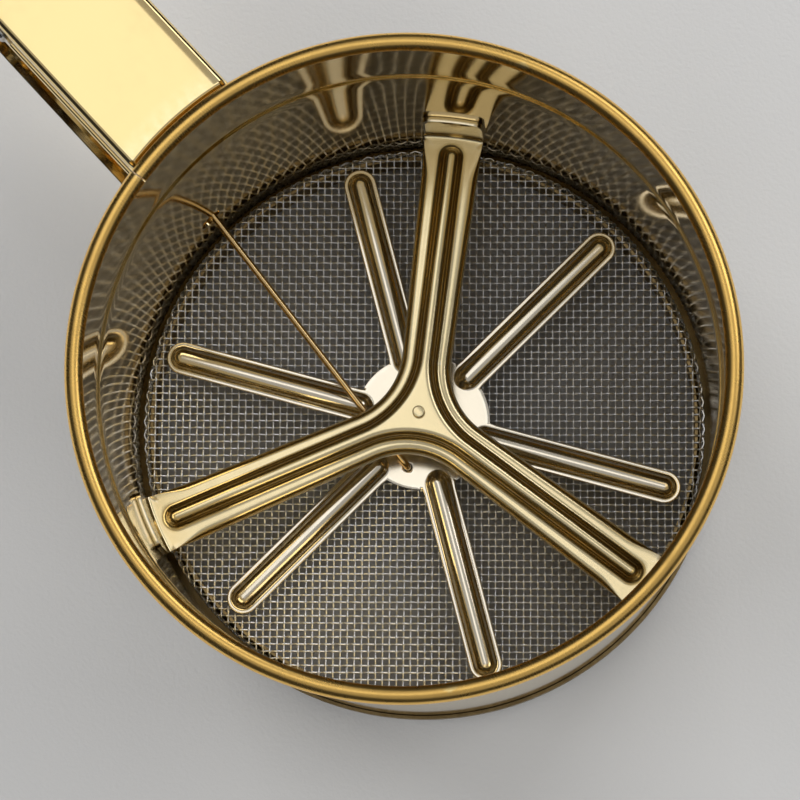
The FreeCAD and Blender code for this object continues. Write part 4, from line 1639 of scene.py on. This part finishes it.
@dataclass(frozen=True)
class MetalFinish:
    """A polished or plated metal.

    Colours are linear. Depths are in millimetres of surface height, and scales are per metre.
    """

    name: str
    colour: Colour
    worn_colour: Colour
    roughness: float
    ripple_scale: float = 90.0
    ripple_depth: float = 0.01
    line_scale: float = 900.0
    line_depth: float = 0.0008
    haze: float = 0.05
    smudge: float = 0.08
    wear: float = 0.5

    def material(self, groups: FinishGroups) -> bpy.types.Material:
        """Make the metal: wear and marks move its colour, lines and marks its roughness, waves its normal.

        Args:
            groups: the shared effects.

        Returns:
            The material.
        """
        material = bpy.data.materials.new(self.name)
        material.use_nodes = True
        sheet = NodeSheet(material.node_tree)
        shader = next(node for node in sheet.tree.nodes if node.type == "BSDF_PRINCIPLED")
        shader.inputs["Metallic"].default_value = 1.0
        ripple = self.effect(sheet, groups.ripple, Scale=self.ripple_scale, Depth=self.ripple_depth)
        polish = self.effect(sheet, groups.polish, Scale=self.line_scale, Depth=self.line_depth,
                             Roughness=self.roughness, Haze=self.haze)
        smudge = self.effect(sheet, groups.smudge, Amount=self.smudge)
        wear = self.effect(sheet, groups.wear, Amount=self.wear)
        mix = sheet.add("ShaderNodeMix", data_type="RGBA")
        colours = [socket for socket in mix.inputs if socket.type == "RGBA"]
        colours[0].default_value = (*self.colour, 1.0)
        colours[1].default_value = (*self.worn_colour, 1.0)
        sheet.join(wear.outputs["Mask"], mix.inputs["Factor"])
        tone = sheet.add("ShaderNodeHueSaturation")
        sheet.join(next(socket for socket in mix.outputs if socket.type == "RGBA"), tone.inputs["Color"])
        sheet.join(sheet.math("SUBTRACT", 1.0, smudge.outputs["Amount"]), tone.inputs["Value"])
        sheet.join(tone.outputs["Color"], shader.inputs["Base Color"])
        rough = sheet.math("ADD", polish.outputs["Roughness"], smudge.outputs["Amount"])
        sheet.join(rough, shader.inputs["Roughness"])
        bump = sheet.add("ShaderNodeBump")
        bump.inputs["Distance"].default_value = MM
        height = sheet.math("ADD", ripple.outputs["Height"], polish.outputs["Height"])
        sheet.join(height, bump.inputs["Height"])
        sheet.join(bump.outputs["Normal"], shader.inputs["Normal"])
        return material

    def effect(self, sheet: NodeSheet, group: bpy.types.NodeTree, **values: float) -> bpy.types.Node:
        """Place a shared effect with this finish's own values."""
        node = sheet.add("ShaderNodeGroup", node_tree=group)
        for label, value in values.items():
            node.inputs[label].default_value = value
        return node


PLATED_GOLD = MetalFinish("plated_gold", (0.90, 0.70, 0.34), (0.97, 0.85, 0.56), 0.06, ripple_depth=0.002,
                          line_depth=0.0001, haze=0.03, smudge=0.04)
# The foot's dark brown gold, far darker than the plating on every other part, is painted shade for the bottom
# of the cup.
FOOT_GOLD_PAINTED_SHADE = MetalFinish("foot_gold_painted_shade", (0.34, 0.25, 0.12), (0.62, 0.48, 0.26), 0.48)
RIM_GOLD = MetalFinish("rim_gold", (0.95, 0.60, 0.17), (0.99, 0.78, 0.34), 0.27, ripple_depth=0.001,
                       line_depth=0.0003, wear=0.7)
BRACKET_GOLD = MetalFinish("bracket_gold", (0.86, 0.72, 0.43), (0.96, 0.88, 0.70), 0.19, ripple_depth=0.0015,
                           line_depth=0.0001, haze=0.03, smudge=0.03)
STAR_GOLD = MetalFinish("star_gold", (0.88, 0.80, 0.65), (0.97, 0.91, 0.78), 0.15, ripple_depth=0.0015,
                        line_depth=0.0001, haze=0.04, smudge=0.04)
WIRE_GOLD = MetalFinish("wire_gold", (0.80, 0.56, 0.26), (0.93, 0.76, 0.48), 0.18, ripple_scale=400.0,
                        ripple_depth=0.002, line_depth=0.0003)
CLOTH_STEEL = MetalFinish("cloth_steel", (0.86, 0.87, 0.90), (0.93, 0.94, 0.96), 0.34, ripple_scale=1500.0,
                          ripple_depth=0.004, line_scale=3000.0, line_depth=0.0003, haze=0.1)
PIN_STEEL = MetalFinish("pin_steel", (0.62, 0.61, 0.59), (0.82, 0.81, 0.78), 0.16, ripple_depth=0.001)
WASHER_STEEL = MetalFinish("washer_steel", (0.70, 0.69, 0.67), (0.86, 0.85, 0.83), 0.22, haze=0.1)
SPRING_STEEL = MetalFinish("spring_steel", (0.42, 0.42, 0.43), (0.66, 0.66, 0.66), 0.26, haze=0.12)


# ---------------------------------------------------------------------------------------------------------
# Studio
# ---------------------------------------------------------------------------------------------------------


@dataclass(frozen=True)
class SoftLight:
    """A soft rectangular light that faces the object's middle.

    Its brightness is in watts per square metre and steradian. Its first side runs along up x away. A light
    that isn't mirrored brightens the floor but doesn't show in polished metal.
    """

    name: str
    place: tuple[float, float, float]
    size: tuple[float, float]
    brightness: float
    up: tuple[float, float, float] = (0.0, 0.0, 1.0)
    mirrored: bool = True
    colour: Colour = (1.0, 0.995, 0.985)

    def build(self, target: Array) -> bpy.types.Object:
        """Make the light and turn its face to the target."""
        data = bpy.data.lights.new(self.name, "AREA")
        data.shape = "RECTANGLE"
        data.size, data.size_y = self.size
        data.energy = self.brightness * math.pi * self.size[0] * self.size[1]
        data.color = self.colour
        light = bpy.data.objects.new(self.name, data)
        bpy.context.scene.collection.objects.link(light)
        light.location = self.place
        away = unit(np.array(self.place) - target)
        side = unit(np.cross(self.up, away))
        turn = np.column_stack([side, np.cross(away, side), away])
        light.rotation_euler = matrix_turn(turn)
        light.visible_glossy = self.mirrored
        return light


def matrix_turn(axes: Array) -> tuple[float, float, float]:
    """The XYZ turns, in radians, of a rotation matrix whose columns are an object's own axes."""
    return (
        math.atan2(axes[2, 1], axes[2, 2]),
        math.asin(-axes[2, 0]),
        math.atan2(axes[1, 0], axes[0, 0]),
    )


@dataclass
class Studio:
    """A plain pale floor, soft lights, a dim surround and the camera."""

    overhead: tuple[SoftLight, ...] = (
        SoftLight("overhead_key", (0.24, -0.03, 1.0), (0.62, 0.24), 0.85, up=(0.0, 1.0, 0.0)),
        SoftLight("overhead_panel", (-0.05, -0.10, 1.25), (2.1, 1.8), 0.36, up=(0.0, 1.0, 0.0)),
        SoftLight("side_key", (0.02, -0.66, 0.80), (0.70, 0.32), 2.1),
    )
    ring_count: int = 6
    ring_radius: float = 1.35
    ring_height: float = 0.5
    ring_size: tuple[float, float] = (1.0, 0.6)
    ring_brightness: tuple[float, ...] = (8.0, 6.0, 4.0, 3.5, 5.5, 8.0)
    camera_place: tuple[float, float, float] = (-78.98 * MM, 35.24 * MM, 577.49 * MM)
    camera_turn: tuple[float, float, float] = (8.59709, 3.12791, -132.46077)
    lens: float = 157.5
    surround: Colour = (0.03, 0.03, 0.032)
    floor_size: float = 6.0
    floor_drop: float = 0.02 * MM
    floor_albedo: float = 0.50
    floor_roughness: float = 0.7
    floor_grain: float = 0.05 * MM
    sensor: float = 36.0
    clip: tuple[float, float] = (0.01, 20.0)

    def floor(self) -> None:
        """Lay the floor: a pale, finely textured sheet at the height of the frame's base."""
        half = self.floor_size / 2.0
        steps = np.linspace(-half, half, 3)
        x, y = np.meshgrid(steps, steps)
        surface = Surface.grid(np.stack([x, y, np.full_like(x, -self.floor_drop)], -1))
        surface = surface if upward(surface) else surface.flipped()
        floor = mesh_object("studio_floor", surface)
        material = bpy.data.materials.new("pale_floor")
        material.use_nodes = True
        sheet = NodeSheet(material.node_tree)
        shader = next(node for node in sheet.tree.nodes if node.type == "BSDF_PRINCIPLED")
        shader.inputs["Base Color"].default_value = (*[self.floor_albedo] * 3, 1.0)
        shader.inputs["Roughness"].default_value = self.floor_roughness
        place = sheet.add("ShaderNodeTexCoord").outputs["Object"]
        bump = sheet.add("ShaderNodeBump")
        bump.inputs["Distance"].default_value = self.floor_grain
        sheet.join(sheet.noise(place, 1400.0, 3.0), bump.inputs["Height"])
        sheet.join(bump.outputs["Normal"], shader.inputs["Normal"])
        floor.data.materials.append(material)
        floor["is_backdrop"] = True

    def camera(self) -> None:
        """Set the camera above the cup, a little off its axis."""
        data = bpy.data.cameras.new("camera")
        data.lens = self.lens
        data.sensor_width = self.sensor
        data.clip_start, data.clip_end = self.clip
        camera = bpy.data.objects.new("camera", data)
        camera.location = self.camera_place
        camera.rotation_euler = tuple(math.radians(turn) for turn in self.camera_turn)
        bpy.context.scene.collection.objects.link(camera)
        bpy.context.scene.camera = camera

    def ring(self) -> list[SoftLight]:
        """The soft lights round the object, low enough to leave the inside of the cup in its own shade."""
        turns = TURN * np.arange(self.ring_count) / self.ring_count
        return [
            SoftLight(f"ring_{k}", (self.ring_radius * math.cos(turn), self.ring_radius * math.sin(turn),
                                    self.ring_height), self.ring_size, brightness, mirrored=False)
            for k, (turn, brightness) in enumerate(zip(turns, self.ring_brightness))
        ]

    def build(self) -> None:
        """Set up the floor, the lights, the surround and the camera."""
        self.floor()
        low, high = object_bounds()
        target = (np.array(low) + np.array(high)) / 2.0
        for light in (*self.overhead, *self.ring()):
            light.build(target)
        world = bpy.data.worlds.new("surround")
        world.use_nodes = True
        background = next(node for node in world.node_tree.nodes if node.type == "BACKGROUND")
        background.inputs["Color"].default_value = (*self.surround, 1.0)
        bpy.context.scene.world = world
        bpy.context.scene.view_settings.view_transform = "Standard"
        self.camera()


def main() -> None:
    """Build every sub-assembly round the frame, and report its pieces."""
    logging.basicConfig(level=logging.INFO, format="%(name)s %(message)s")
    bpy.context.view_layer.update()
    groups = FinishGroups()
    gold, bracket_gold = PLATED_GOLD.material(groups), BRACKET_GOLD.material(groups)
    pin_steel, washer_steel = PIN_STEEL.material(groups), WASHER_STEEL.material(groups)
    spring_steel = SPRING_STEEL.material(groups)
    trigger = Trigger(gold)
    assemblies = [
        CupWall(gold),
        RimBead(RIM_GOLD.material(groups)),
        # The base ring's dark gold is painted shade for the bottom of the cup.
        BaseRing(FOOT_GOLD_PAINTED_SHADE.material(groups)),
        WovenScreen(CLOTH_STEEL.material(groups)),
        Bracket(bracket_gold),
        SpindleStack(bracket_gold, pin_steel, washer_steel, spring_steel),
        Agitator(STAR_GOLD.material(groups), pin_steel),
        PullRod(WIRE_GOLD.material(groups)),
        Handle(gold),
        trigger,
        PivotPin(pin_steel, washer_steel),
        ReturnSpring(spring_steel, trigger),
    ]
    for assembly in assemblies:
        pieces = assembly.build()
        log.info("%s: %s", type(assembly).__name__, ", ".join(piece.name for piece in pieces))
    Studio().build()


if __name__ == "__main__":
    main()
